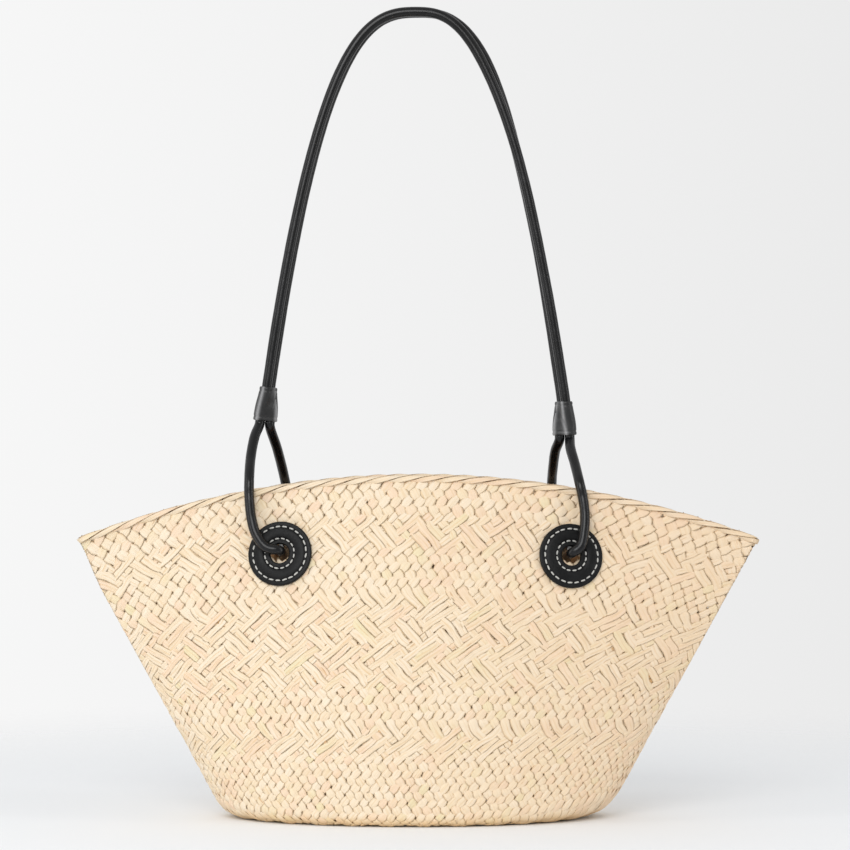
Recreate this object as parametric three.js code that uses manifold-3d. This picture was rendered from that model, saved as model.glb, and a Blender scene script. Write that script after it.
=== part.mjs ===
// A straw basket bag: a woven hollow basket with an oval foot and a pinched mouth, four round
// leather patches, and one long leather cord that runs as a double strap over the shoulder.
//
// Millimetres, +Z up. The front of the bag faces -Y, and the origin is on the floor under the
// middle of the basket. "Left" and "right" are as seen from the front.

import * as THREE from "three";
import Module from "manifold-3d";

const wasm = await Module();
wasm.setup();

// Driving dimensions of the basket
const MOUTH_HALF_WIDTH = 229.7;
const MOUTH_HALF_DEPTH = 36;
const RIM_HEIGHT_MIDDLE = 230;
const RIM_HEIGHT_TIP = 187;
const FOOT_HALF_WIDTH = 126.8;
const FOOT_HALF_DEPTH = 73;
const BASKET_WALL = 2;
// Length of floor and of wall that the rounded bottom edge takes up
const EDGE_ROUND_SIDE = 11;
const EDGE_ROUND_FRONT = 6;
// How the plan turns from an oval at the foot to a leaf with pinched tips at the rim
const PINCH_FOOT = 0.98;
const PINCH_RIM = 2.3;
const PINCH_GROWTH = 1.25;
const DEPTH_POWER = 1.8;

// Driving dimensions of the leather
const CORD_DIAMETER = 6.5;
const CORD_CLEARANCE = 0.4;
const PATCH_RADIUS = 21.7;
const PATCH_THICKNESS = 2.2;
const PATCH_CROWN = 0.9;
const PATCH_SEAT_GAP = 0.45;
// How far a patch's middle lies below the rim, and the strap's top above it
const PATCH_DROP = 45;
const STRAP_RISE = 315.8;
const HOLE_SLACK = 3.3;
const SLEEVE_LENGTH = 22.8;
const SLEEVE_WALL = 1;
const SLEEVE_CLEARANCE = 0.5;
const LEG_CLEARANCE = 0.4;
const RIM_CLEARANCE = 3;
const JOIN_GAP = 0.6;
const SLEEVE_RUNOUT = 2.5;
// A leg crosses the rim aslant, so it needs this many of its own radii beside the wall
const RIM_TURN = 1.15;

// Where the two sides of the bag differ. A patch's place is a share of the mouth's half width,
// and its sleeve's foot stands above the rim by a share of the strap's rise. The sleeve's ends
// are outwards from the patch's middle by shares of the patch's radius. The strap's arch falls
// by the archPower of the share of its half span. Each leg is the cord's route from its sleeve
// to its patch: fall is 0 at the rim's height and 1 at the patch's middle, and bow is how far
// outwards from the patch's middle it passes, as a share of the patch's radius.
const SIDES = [
  {
    name: "left",
    sign: -1,
    patchAcross: 0.398,
    sleeveTopOut: 0.433,
    sleeveFootOut: 0.544,
    sleeveRise: 0.138,
    archPower: 2.77,
    frontLeg: [
      { fall: -0.74, bow: 0.85 },
      { fall: -0.42, bow: 0.955 },
      { fall: -0.06, bow: 0.977 },
      { fall: 0.16, bow: 0.97 },
      { fall: 0.51, bow: 0.875 },
      { fall: 0.74, bow: 0.71 },
      { fall: 0.9, bow: 0.42 },
    ],
    backLeg: [
      { fall: -0.54, bow: 0.19 },
      { fall: -0.06, bow: -0.02 },
      { fall: 0.25, bow: -0.12 },
      { fall: 0.55, bow: -0.16 },
      { fall: 0.82, bow: -0.1 },
    ],
  },
  {
    name: "right",
    sign: 1,
    patchAcross: 0.442,
    sleeveTopOut: -0.152,
    sleeveFootOut: -0.12,
    sleeveRise: 0.1124,
    archPower: 2.63,
    frontLeg: [
      { fall: -0.6, bow: 0.05 },
      { fall: -0.38, bow: 0.16 },
      { fall: -0.06, bow: 0.3 },
      { fall: 0.14, bow: 0.39 },
      { fall: 0.37, bow: 0.444 },
      { fall: 0.61, bow: 0.42 },
      { fall: 0.85, bow: 0.3 },
    ],
    backLeg: [
      { fall: -0.56, bow: -0.39 },
      { fall: -0.32, bow: -0.444 },
      { fall: -0.06, bow: -0.468 },
      { fall: 0.3, bow: -0.46 },
      { fall: 0.6, bow: -0.38 },
      { fall: 0.85, bow: -0.2 },
    ],
  },
];

// Shallow dents where the strap pulls the walls together, one row for each. Across is a share
// of the mouth's half width, up and radius are shares of the rim's height in the middle, and
// depth is a share of the mouth's half depth.
const DENTS = [
  { across: -0.4, up: 0.84, depth: 0.067, radius: 0.2 },
  { across: 0.44, up: 0.84, depth: 0.083, radius: 0.217 },
  { across: 0.74, up: 0.62, depth: 0.044, radius: 0.165 },
  { across: -0.05, up: 0.42, depth: -0.05, radius: 0.39 },
];
// Share of the height over which a dent fades out above the foot
const DENT_FOOT_FADE = 0.25;

// The cross section of a leather patch from its hole to its edge, as shares of the ring's
// width and of the crown's height
const PATCH_SECTION = [
  { across: 0, crown: 0 },
  { across: 0.22, crown: 0.3 },
  { across: 0.5, crown: 1 },
  { across: 0.78, crown: 0.3 },
  { across: 1, crown: -0.5 },
];

// How the two strands of the strap lie about each other: 0 degrees is one behind the other,
// positive turns the front strand outwards; along is a share of the arch's half span
const PAIR_TWIST = [
  { along: -1, degrees: 19 },
  { along: -0.6, degrees: 12 },
  { along: 0, degrees: 0 },
  { along: 0.45, degrees: -27 },
  { along: 0.78, degrees: 6 },
  { along: 1, degrees: 19 },
];
const TWIST_AT_SLEEVE_FOOT = 80;

// Mesh resolution
const AROUND_BASKET = 64;
const WALL_ROWS = 11;
const EDGE_ROWS = 3;
const AROUND_PATCH = 28;
const AROUND_HOLE = 24;
const AROUND_CORD = 10;
const ARCH_STEPS = 54;
const LOOP_STEPS = 50;
const SLEEVE_ROWS = 8;
const SLEEVE_ARC_STEPS = 8;
const SLEEVE_STATIONS = 4;
const ARCH_STATIONS = 40;
// Under 1, it crowds the arch's stations on the bend at the top
const STATION_CROWDING = 0.85;
const SEARCH_TURNS = 30;

// Sizes that follow from the ones above
const CORD_RADIUS = CORD_DIAMETER / 2;
const HOLE_RADIUS = CORD_RADIUS + HOLE_SLACK;
const STRAND_SPACING = CORD_DIAMETER + CORD_CLEARANCE;
const SLEEVE_BORE = CORD_RADIUS + SLEEVE_CLEARANCE;
const JOIN_HALF = JOIN_GAP / SLEEVE_LENGTH / 2;
// Long enough to pass right through a slanting wall
const DRILL_LENGTH = 6 * BASKET_WALL;

const straw = new THREE.MeshStandardMaterial({ color: 0xe9d7b0, roughness: 0.85, metalness: 0 });
const leather = new THREE.MeshStandardMaterial({ color: 0x151516, roughness: 0.45, metalness: 0 });

// Smooth value of a table's column at a position, between its rows
function tableValue(rows, key, column, at) {
  if (at <= rows[0][key]) return rows[0][column];
  for (let i = 1; i < rows.length; i += 1) {
    if (at <= rows[i][key]) {
      const share = (at - rows[i - 1][key]) / (rows[i][key] - rows[i - 1][key]);
      const eased = THREE.MathUtils.smoothstep(share, 0, 1);
      return THREE.MathUtils.lerp(rows[i - 1][column], rows[i][column], eased);
    }
  }
  return rows[rows.length - 1][column];
}

// Height of the rim above a place across the mouth
function rimHeight(x) {
  const share = THREE.MathUtils.clamp(x / MOUTH_HALF_WIDTH, -1, 1);
  return RIM_HEIGHT_TIP + (RIM_HEIGHT_MIDDLE - RIM_HEIGHT_TIP) * (1 - share * share);
}

// How far the dents push the wall in at a place seen from the front
function dentAt(x, z) {
  let sum = 0;
  for (const dent of DENTS) {
    const radius = dent.radius * RIM_HEIGHT_MIDDLE;
    const across = (x - dent.across * MOUTH_HALF_WIDTH) / radius;
    const up = (z - dent.up * RIM_HEIGHT_MIDDLE) / radius;
    sum += dent.depth * MOUTH_HALF_DEPTH * Math.exp(-(across * across + up * up));
  }
  return sum;
}

// Half sizes and pinch of the basket's plan at a share of the way from the floor to the rim
function planAt(share) {
  return {
    halfWidth: THREE.MathUtils.lerp(FOOT_HALF_WIDTH, MOUTH_HALF_WIDTH, share),
    halfDepth: MOUTH_HALF_DEPTH + (FOOT_HALF_DEPTH - MOUTH_HALF_DEPTH) * (1 - share ** DEPTH_POWER),
    pinch: PINCH_FOOT + (PINCH_RIM - PINCH_FOOT) * share ** PINCH_GROWTH,
  };
}

// Half sizes of the hollow: the side walls meet in a fold where the mouth is pinched
function hollowPlanAt(share) {
  const plan = planAt(share);
  const foldSine = (BASKET_WALL / plan.halfDepth) ** (1 / plan.pinch);
  return {
    halfWidth: plan.halfWidth * Math.sqrt(1 - foldSine * foldSine) - BASKET_WALL,
    halfDepth: plan.halfDepth - BASKET_WALL,
    pinch: plan.pinch,
  };
}

// A point of the straight part of a wall: plan is planAt or hollowPlanAt
function wallPoint(plan, angle, share, floor) {
  const here = plan(share);
  const sine = Math.sin(angle);
  const x = here.halfWidth * Math.cos(angle);
  const z = floor + share * (rimHeight(plan(1).halfWidth * Math.cos(angle)) - floor);
  const depth = here.halfDepth * Math.abs(sine) ** here.pinch;
  // A dent fades out towards the side folds, where the walls meet
  const fade = Math.min(1, depth / MOUTH_HALF_DEPTH) * Math.min(1, share / DENT_FOOT_FADE);
  return new THREE.Vector3(x, Math.sign(sine) * Math.max(0, depth - fade * dentAt(x, z)), z);
}

// The rows of a shell from its floor's middle up to the rim, with a rounded bottom edge
function shellRings(plan, floor, roundCut) {
  const rings = [];
  for (let row = 0; row <= EDGE_ROWS + WALL_ROWS; row += 1) {
    const ring = [];
    for (let i = 0; i < AROUND_BASKET; i += 1) {
      const angle = (2 * Math.PI * i) / AROUND_BASKET;
      const cosine = Math.cos(angle);
      const round = THREE.MathUtils.lerp(EDGE_ROUND_FRONT, EDGE_ROUND_SIDE, cosine * cosine) - roundCut;
      const roundShare = round / rimHeight(0);
      if (row <= EDGE_ROWS) {
        const corner = wallPoint(plan, angle, 0, floor);
        const inset = 1 - round / Math.hypot(corner.x, corner.y);
        const start = new THREE.Vector3(corner.x * inset, corner.y * inset, floor);
        const end = wallPoint(plan, angle, roundShare, floor);
        ring.push(new THREE.QuadraticBezierCurve3(start, corner, end).getPoint(row / EDGE_ROWS));
      } else {
        const share = THREE.MathUtils.lerp(roundShare, 1, (row - EDGE_ROWS) / WALL_ROWS);
        ring.push(wallPoint(plan, angle, share, floor));
      }
    }
    rings.push(ring);
  }
  return rings;
}

// A closed surface through rings of points, each with as many points. With ends the first and
// the last ring close on their middles, and without them the last ring joins the first.
function surfaceThrough(rings, ends) {
  const around = rings[0].length;
  const points = rings.flat();
  const faces = [];
  const joins = ends ? rings.length - 1 : rings.length;
  for (let row = 0; row < joins; row += 1) {
    const below = row * around;
    const above = ((row + 1) % rings.length) * around;
    for (let i = 0; i < around; i += 1) {
      const next = (i + 1) % around;
      faces.push([below + i, below + next, above + next], [below + i, above + next, above + i]);
    }
  }
  if (ends) {
    for (const [row, turn] of [[0, 1], [rings.length - 1, 0]]) {
      const middle = new THREE.Vector3();
      rings[row].forEach((point) => middle.addScaledVector(point, 1 / around));
      points.push(middle);
      for (let i = 0; i < around; i += 1) {
        const pair = [row * around + i, row * around + ((i + 1) % around)];
        faces.push([points.length - 1, pair[turn], pair[1 - turn]]);
      }
    }
  }
  let volume = 0;
  for (const [a, b, c] of faces) volume += points[a].dot(points[b].clone().cross(points[c]));
  const index = volume < 0 ? faces.map(([a, b, c]) => [a, c, b]) : faces;
  const geometry = new THREE.BufferGeometry().setFromPoints(points);
  geometry.setIndex(index.flat());
  geometry.computeVertexNormals();
  return geometry;
}

function solidFrom(geometry) {
  const vertProperties = new Float32Array(geometry.attributes.position.array);
  const triVerts = new Uint32Array(geometry.index.array);
  return new wasm.Manifold(new wasm.Mesh({ numProp: 3, vertProperties, triVerts }));
}

function geometryFrom(solid) {
  const made = solid.getMesh();
  const geometry = new THREE.BufferGeometry();
  geometry.setAttribute("position", new THREE.BufferAttribute(new Float32Array(made.vertProperties), 3));
  geometry.setIndex(Array.from(made.triVerts));
  geometry.computeVertexNormals();
  return geometry;
}

// Half depth of the basket's outside at a place seen from the front
function outsideDepth(x, z) {
  let share = Math.min(1, z / rimHeight(x));
  let cosine = 0;
  for (let turn = 0; turn < SEARCH_TURNS; turn += 1) {
    cosine = THREE.MathUtils.clamp(x / planAt(share).halfWidth, -1, 1);
    share = Math.min(1, z / rimHeight(MOUTH_HALF_WIDTH * cosine));
  }
  return wallPoint(planAt, Math.acos(cosine), share, 0).y;
}

// A point of the outside and the way out of the wall there; face is -1 at the front, 1 at the back
function outsideAt(x, z, face) {
  const step = 0.5;
  const slopeX = (outsideDepth(x + step, z) - outsideDepth(x - step, z)) / (2 * step);
  const slopeZ = (outsideDepth(x, z + step) - outsideDepth(x, z - step)) / (2 * step);
  return {
    point: new THREE.Vector3(x, face * outsideDepth(x, z), z),
    normal: new THREE.Vector3(-slopeX, face, -slopeZ).normalize(),
  };
}

// Place of a patch's middle across the bag, and its height
function patchPlace(side) {
  const x = side.sign * side.patchAcross * MOUTH_HALF_WIDTH;
  return { x, z: rimHeight(x) - PATCH_DROP };
}

// The axes of a patch: its middle on the wall, the way out, and two ways along the wall
function patchFrame(side, face) {
  const { x, z } = patchPlace(side);
  const { point, normal } = outsideAt(x, z, face);
  const along = new THREE.Vector3(1, 0, 0).projectOnPlane(normal).normalize();
  const up = new THREE.Vector3().crossVectors(normal, along).multiplyScalar(face).negate();
  return { point, normal, along, up };
}

// The hollow shell, with a hole for the cord behind each patch
function basketGeometry() {
  const outside = shellRings(planAt, 0, 0);
  const inside = shellRings(hollowPlanAt, BASKET_WALL, BASKET_WALL / 2);
  let shell = solidFrom(surfaceThrough([...outside, ...inside.reverse()], true));
  for (const side of SIDES) {
    for (const face of [-1, 1]) {
      const frame = patchFrame(side, face);
      const drill = new THREE.CylinderGeometry(HOLE_RADIUS, HOLE_RADIUS, DRILL_LENGTH, AROUND_HOLE);
      const axis = new THREE.Vector3(0, 1, 0);
      drill.applyQuaternion(new THREE.Quaternion().setFromUnitVectors(axis, frame.normal));
      drill.translate(frame.point.x, frame.point.y, frame.point.z);
      shell = shell.subtract(solidFrom(mergedPositions(drill)));
    }
  }
  return geometryFrom(shell);
}

// The same geometry with one vertex for each place and nothing but positions
function mergedPositions(geometry) {
  const source = geometry.attributes.position;
  const seen = new Map();
  const points = [];
  const order = [];
  for (let i = 0; i < source.count; i += 1) {
    const point = new THREE.Vector3().fromBufferAttribute(source, i);
    const key = point.toArray().map((value) => value.toFixed(4)).join(",");
    if (!seen.has(key)) {
      seen.set(key, points.length);
      points.push(point);
    }
    order.push(seen.get(key));
  }
  const index = geometry.index ? Array.from(geometry.index.array) : order.map((_, i) => i);
  const faces = [];
  for (let i = 0; i < index.length; i += 3) {
    const face = [order[index[i]], order[index[i + 1]], order[index[i + 2]]];
    if (new Set(face).size === 3) faces.push(...face);
  }
  const merged = new THREE.BufferGeometry().setFromPoints(points);
  merged.setIndex(faces);
  return merged;
}

// A leather ring that follows the wall it is sewn to, padded between its two seams
function patchGeometry(side, face) {
  const frame = patchFrame(side, face);
  const onWall = (radius, angle, lift) => {
    const flat = frame.point.clone();
    flat.addScaledVector(frame.along, radius * Math.cos(angle));
    flat.addScaledVector(frame.up, radius * Math.sin(angle));
    flat.y = face * outsideDepth(flat.x, flat.z);
    return flat.addScaledVector(frame.normal, lift);
  };
  const width = PATCH_RADIUS - HOLE_RADIUS;
  const rows = PATCH_SECTION.map((row) => ({
    radius: HOLE_RADIUS + row.across * width,
    lift: PATCH_SEAT_GAP + PATCH_THICKNESS + row.crown * PATCH_CROWN,
  }));
  const backRows = [1, 0.5, 0].map((across) => ({
    radius: HOLE_RADIUS + across * width,
    lift: PATCH_SEAT_GAP,
  }));
  const rings = [...rows, ...backRows].map(({ radius, lift }) =>
    Array.from({ length: AROUND_PATCH }, (_, i) => onWall(radius, (2 * Math.PI * i) / AROUND_PATCH, lift)),
  );
  return surfaceThrough(rings, false);
}

// A station of the double strap: its middle, the way out of the arch, and the strands' twist
function pairStation(middle, outward, degrees) {
  const angle = THREE.MathUtils.degToRad(degrees);
  const half = new THREE.Vector3(0, -Math.cos(angle), 0).addScaledVector(outward, Math.sin(angle));
  half.multiplyScalar(STRAND_SPACING / 2);
  return {
    front: middle.clone().add(half),
    back: middle.clone().sub(half),
    toFront: half.clone().normalize(),
  };
}

// The middles of a sleeve's two ends
function sleeveEnds(side) {
  const patchX = patchPlace(side).x;
  const footHeight = rimHeight(patchX) + side.sleeveRise * STRAP_RISE;
  const outFromPatch = (share) => patchX + side.sign * share * PATCH_RADIUS;
  return {
    foot: new THREE.Vector3(outFromPatch(side.sleeveFootOut), 0, footHeight),
    top: new THREE.Vector3(outFromPatch(side.sleeveTopOut), 0, footHeight + SLEEVE_LENGTH),
  };
}

// The middle of the strap along its arch; along runs from -1 at the left sleeve to 1 at the right
function archMiddle(along) {
  const side = along < 0 ? SIDES[0] : SIDES[1];
  const end = sleeveEnds(side).top;
  const apex = RIM_HEIGHT_MIDDLE + STRAP_RISE - CORD_RADIUS;
  const share = Math.abs(along);
  return new THREE.Vector3(end.x * share, 0, apex - (apex - end.z) * share ** side.archPower);
}

function archStation(along) {
  const step = 0.01;
  const way = archMiddle(Math.min(1, along + step)).sub(archMiddle(Math.max(-1, along - step))).normalize();
  const outward = new THREE.Vector3(-way.z, 0, way.x);
  return pairStation(archMiddle(along), outward, tableValue(PAIR_TWIST, "along", "degrees", along));
}

// A station inside a sleeve; up is 0 at the sleeve's foot and 1 at its top
function sleeveStation(side, up) {
  const { foot, top } = sleeveEnds(side);
  const lean = top.clone().sub(foot).normalize();
  const outward = new THREE.Vector3(side.sign * lean.z, 0, -side.sign * lean.x);
  const twistAtTop = tableValue(PAIR_TWIST, "along", "degrees", side.sign);
  const turned = THREE.MathUtils.smoothstep(up, 0, 1);
  const degrees = THREE.MathUtils.lerp(TWIST_AT_SLEEVE_FOOT, twistAtTop, turned);
  return { ...pairStation(foot.lerp(top, up), outward, degrees), lean };
}

// Tube of the cord along a smooth line through points
function cordGeometry(points, steps) {
  const section = new THREE.Shape();
  for (let i = 0; i < AROUND_CORD; i += 1) {
    const angle = (2 * Math.PI * i) / AROUND_CORD;
    const place = [CORD_RADIUS * Math.cos(angle), CORD_RADIUS * Math.sin(angle)];
    if (i) section.lineTo(...place);
    else section.moveTo(...place);
  }
  const extrudePath = new THREE.CatmullRomCurve3(points, false, "centripetal");
  return new THREE.ExtrudeGeometry(section, { steps, extrudePath, curveSegments: 1 });
}

// The strands' places in the upper half of a sleeve, from the join up, and in its lower half
function upperStations(side, strand) {
  return Array.from({ length: SLEEVE_STATIONS }, (_, i) => {
    const up = THREE.MathUtils.lerp(0.5 + JOIN_HALF, 1, i / SLEEVE_STATIONS);
    return sleeveStation(side, up)[strand];
  });
}

function lowerStations(side, strand) {
  return Array.from({ length: SLEEVE_STATIONS + 1 }, (_, i) => {
    const up = THREE.MathUtils.lerp(0.5 - JOIN_HALF, -SLEEVE_RUNOUT / SLEEVE_LENGTH, i / SLEEVE_STATIONS);
    return sleeveStation(side, up)[strand];
  });
}

// One of the two long strands, from sleeve to sleeve over the arch
function strandGeometry(strand) {
  const arch = Array.from({ length: ARCH_STATIONS + 1 }, (_, i) => {
    const even = (2 * i) / ARCH_STATIONS - 1;
    return archStation(Math.sign(even) * Math.abs(even) ** STATION_CROWDING)[strand];
  });
  const left = upperStations(SIDES[0], strand);
  const right = upperStations(SIDES[1], strand).reverse();
  return cordGeometry([...left, ...arch, ...right], ARCH_STEPS);
}

// A leg of a lower loop, from inside its sleeve down over the rim and into its patch's hole
function legPoints(side, face) {
  const strand = face < 0 ? "front" : "back";
  const start = lowerStations(side, strand);
  const foot = start[start.length - 1];
  const patch = patchPlace(side);
  const rim = rimHeight(patch.x);
  const overLeather = PATCH_SEAT_GAP + PATCH_THICKNESS + PATCH_CROWN;
  const route = (face < 0 ? side.frontLeg : side.backLeg).map((row) => {
    const x = patch.x + side.sign * row.bow * PATCH_RADIUS;
    const z = rim - row.fall * PATCH_DROP;
    const onLeather = THREE.MathUtils.smoothstep(row.fall, 0, 1 - PATCH_RADIUS / PATCH_DROP) * overLeather;
    const wall = face * outsideDepth(x, z);
    const clear = wall + face * (CORD_RADIUS * RIM_TURN + LEG_CLEARANCE + onLeather);
    const out = THREE.MathUtils.clamp((foot.z - z) / (foot.z - rim - RIM_CLEARANCE), 0, 1);
    return new THREE.Vector3(x, THREE.MathUtils.lerp(foot.y, clear, out), z);
  });
  const frame = patchFrame(side, face);
  const hook = frame.point.clone().addScaledVector(frame.up, HOLE_SLACK / 2);
  return [
    ...start,
    ...route,
    hook.clone().addScaledVector(frame.normal, overLeather + CORD_RADIUS / 2),
    hook.clone().addScaledVector(frame.normal, -BASKET_WALL - CORD_RADIUS),
  ];
}

// A lower loop: sleeve, front patch, across the inside, back patch, and up to the sleeve again
function loopGeometry(side) {
  const front = legPoints(side, -1);
  const back = legPoints(side, 1).reverse();
  const inside = front[front.length - 1].clone().add(back[0]).multiplyScalar(0.5);
  inside.z -= CORD_RADIUS;
  return cordGeometry([...front, inside, ...back], LOOP_STEPS);
}

// A sleeve wrapped round both strands: a round-ended slot that turns with them
function sleeveGeometry(side) {
  const slot = (up, radius) => {
    const station = sleeveStation(side, up);
    const across = new THREE.Vector3().crossVectors(station.lean, station.toFront).normalize();
    const ring = [];
    for (const [centre, sign] of [[station.front, 1], [station.back, -1]]) {
      for (let i = 0; i <= SLEEVE_ARC_STEPS; i += 1) {
        const angle = Math.PI * (i / SLEEVE_ARC_STEPS - 0.5);
        const point = centre.clone().addScaledVector(station.toFront, sign * radius * Math.cos(angle));
        ring.push(point.addScaledVector(across, sign * radius * Math.sin(angle)));
      }
    }
    // Counted round the other way on one side, so that the two sleeves' facets mirror each other
    return side.sign > 0 ? ring.reverse() : ring;
  };
  const ups = Array.from({ length: SLEEVE_ROWS + 1 }, (_, i) => i / SLEEVE_ROWS);
  const outer = ups.map((up) => slot(up, SLEEVE_BORE + SLEEVE_WALL));
  const inner = [...ups].reverse().map((up) => slot(up, SLEEVE_BORE));
  return surfaceThrough([...outer, ...inner], false);
}

const bag = new THREE.Group();

function addPiece(name, geometry, material) {
  const mesh = new THREE.Mesh(geometry, material);
  mesh.name = name;
  bag.add(mesh);
}

addPiece("basket", basketGeometry(), straw);
addPiece("strap_front", strandGeometry("front"), leather);
addPiece("strap_back", strandGeometry("back"), leather);
for (const side of SIDES) {
  addPiece(`loop_${side.name}`, loopGeometry(side), leather);
  addPiece(`sleeve_${side.name}`, sleeveGeometry(side), leather);
  addPiece(`patch_front_${side.name}`, patchGeometry(side, -1), leather);
  addPiece(`patch_back_${side.name}`, patchGeometry(side, 1), leather);
}

export default bag;
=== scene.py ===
import math

import bpy
import numpy as np
from bpy.props import FloatProperty, FloatVectorProperty, IntProperty, PointerProperty
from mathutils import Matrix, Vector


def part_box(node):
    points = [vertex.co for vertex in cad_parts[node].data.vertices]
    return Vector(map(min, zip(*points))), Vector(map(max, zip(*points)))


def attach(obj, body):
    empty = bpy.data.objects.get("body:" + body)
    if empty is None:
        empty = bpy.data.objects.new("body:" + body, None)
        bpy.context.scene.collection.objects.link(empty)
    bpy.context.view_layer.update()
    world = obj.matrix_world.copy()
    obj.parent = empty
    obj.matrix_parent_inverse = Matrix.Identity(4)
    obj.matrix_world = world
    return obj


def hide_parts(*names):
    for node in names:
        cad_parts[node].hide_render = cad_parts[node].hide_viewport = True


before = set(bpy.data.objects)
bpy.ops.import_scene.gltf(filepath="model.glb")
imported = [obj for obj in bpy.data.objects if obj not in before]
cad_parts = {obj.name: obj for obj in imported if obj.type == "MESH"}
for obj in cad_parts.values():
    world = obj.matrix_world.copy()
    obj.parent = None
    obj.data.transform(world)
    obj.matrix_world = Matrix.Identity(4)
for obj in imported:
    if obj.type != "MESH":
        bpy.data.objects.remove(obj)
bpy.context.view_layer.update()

# A straw basket bag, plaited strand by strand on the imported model. Two slanting families of
# straw strands cross each other all round the basket, and four round leather patches carry
# one long leather cord. Metres, +Z up, and the front of the bag faces -Y.

bl_info = {
    "name": "Straw Basket Bag",
    "version": (1, 0, 0),
    "blender": (4, 5, 0),
    "location": "View3D > Sidebar > Basket Bag",
    "description": "Plaits a straw basket bag with leather patches and a leather cord",
    "category": "Add Mesh",
}

MM = 0.001
# Millimetres between the maps of neighbouring strands, and the splits that fit between them
LANE_APART = 40
LANE_SPLITS = 12
# Free edge of a strip of the bake map: at its ends, and along its sides as a share of its width
END_MARGIN = 0.002
LANE_MARGIN = 0.05
BASKET_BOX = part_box("basket")
STRAP_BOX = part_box("strap_back")

# Where the two sides differ. A patch's place is a share of the mouth's half width; a sleeve's
# foot stands above the rim by a share of the strap's rise, and its ends lie outwards from the
# patch's middle by shares of the patch's radius. Its bands of painted sheen lie at shares of its
# width, at the foot and at the top. The arch falls by a power of its half span.
# A leg's rows are (fall, bow): fall is 0 at the rim and 1 at the patch's middle, and bow is
# how far outwards it passes, as a share of the patch's radius.
SIDES = {
    "left": {
        "sign": -1,
        "patch_across": 0.398,
        "sleeve_top_out": 0.433,
        "sleeve_foot_out": 0.544,
        "sleeve_rise": 0.138,
        "sleeve_sheen_bands": ((0.14, 0.22), (0.96, 0.95)),
        "arch_power": 2.77,
        "front_leg": (
            (-0.74, 0.85), (-0.42, 0.955), (-0.06, 0.977), (0.16, 0.97), (0.51, 0.875),
            (0.74, 0.71), (0.9, 0.42),
        ),
        "back_leg": ((-0.54, 0.19), (-0.06, -0.02), (0.25, -0.12), (0.55, -0.16), (0.82, -0.1)),
    },
    "right": {
        "sign": 1,
        "patch_across": 0.442,
        "sleeve_top_out": -0.152,
        "sleeve_foot_out": -0.12,
        "sleeve_rise": 0.1124,
        "sleeve_sheen_bands": ((0.04, 0.06), (0.56, 0.36)),
        "arch_power": 2.63,
        "front_leg": (
            (-0.6, 0.05), (-0.38, 0.16), (-0.06, 0.3), (0.14, 0.39), (0.37, 0.444),
            (0.61, 0.42), (0.85, 0.3),
        ),
        "back_leg": (
            (-0.56, -0.39), (-0.32, -0.444), (-0.06, -0.468), (0.3, -0.46), (0.6, -0.38),
            (0.85, -0.2),
        ),
    },
}
FACES = {"front": -1, "back": 1}

# Shallow dents where the strap pulls the walls together: across as a share of the mouth's half
# width, up, depth as a share of the mouth's half depth, radius
DENTS = (
    (-0.4, 0.84, 0.067, 0.2),
    (0.44, 0.84, 0.083, 0.217),
    (0.74, 0.62, 0.044, 0.165),
    (-0.05, 0.42, -0.05, 0.39),
)

# How the strap's two strands lie about each other: share of the half span, degrees
PAIR_TWIST = ((-1, 19), (-0.6, 12), (0, 0), (0.45, -27), (0.78, 6), (1, 19))
TWIST_AT_SLEEVE_FOOT = 80

# The plait from the rim down: pattern, rows, height of a row
BANDS = (
    ("plain", 5, 8.7),
    ("blocks", 6, 5.5),
    ("plain", 6, 7.9),
    ("blocks", 19, 4.97),
    ("plain", 5, 8.2),
    ("blocks", 6, 4.7),
    ("plain", 8, 7.5),
)
# A block is this many strands across, and this many of them lie side by side on top
BLOCK = 4
FLOAT = 3
# How far a row goes in under the floor, and how deep a hole's cut reaches through the wall
UNDER_ROW = 5 * MM
CUT_DEPTH = 12 * MM

# The leathers: scale of the grain, roughness, strength of the relief, gloss
LEATHERS = {
    "cord": (1300.0, 0.24, 0.12, 0.36),
    "patch": (1500.0, 0.36, 0.4, 0.2),
    "sleeve": (1400.0, 0.4, 0.2, 0.5),
}
# The studio's lamps: size, place
LAMPS = {
    "key_light": ((1.5, 1.5), (-0.45, -2.3, 1.25)),
    "left_light": ((0.25, 1.8), (-1.6, -0.55, 0.5)),
    "right_light": ((0.2, 1.8), (1.6, -0.5, 0.5)),
}


def length(name, description, default):
    return FloatProperty(name=name, description=description, default=default,
                         unit="LENGTH", subtype="DISTANCE", precision=5)


def share(name, description, default):
    return FloatProperty(name=name, description=description, default=default, precision=4)


def angle(name, description, degrees):
    return FloatProperty(name=name, description=description, default=math.radians(degrees),
                         unit="ROTATION", subtype="ANGLE")


def count(name, description, default):
    return IntProperty(name=name, description=description, default=default, min=1)


def colour(name, description, default):
    return FloatVectorProperty(name=name, description=description, default=default,
                               subtype="COLOR", size=3, min=0, max=1)


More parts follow.
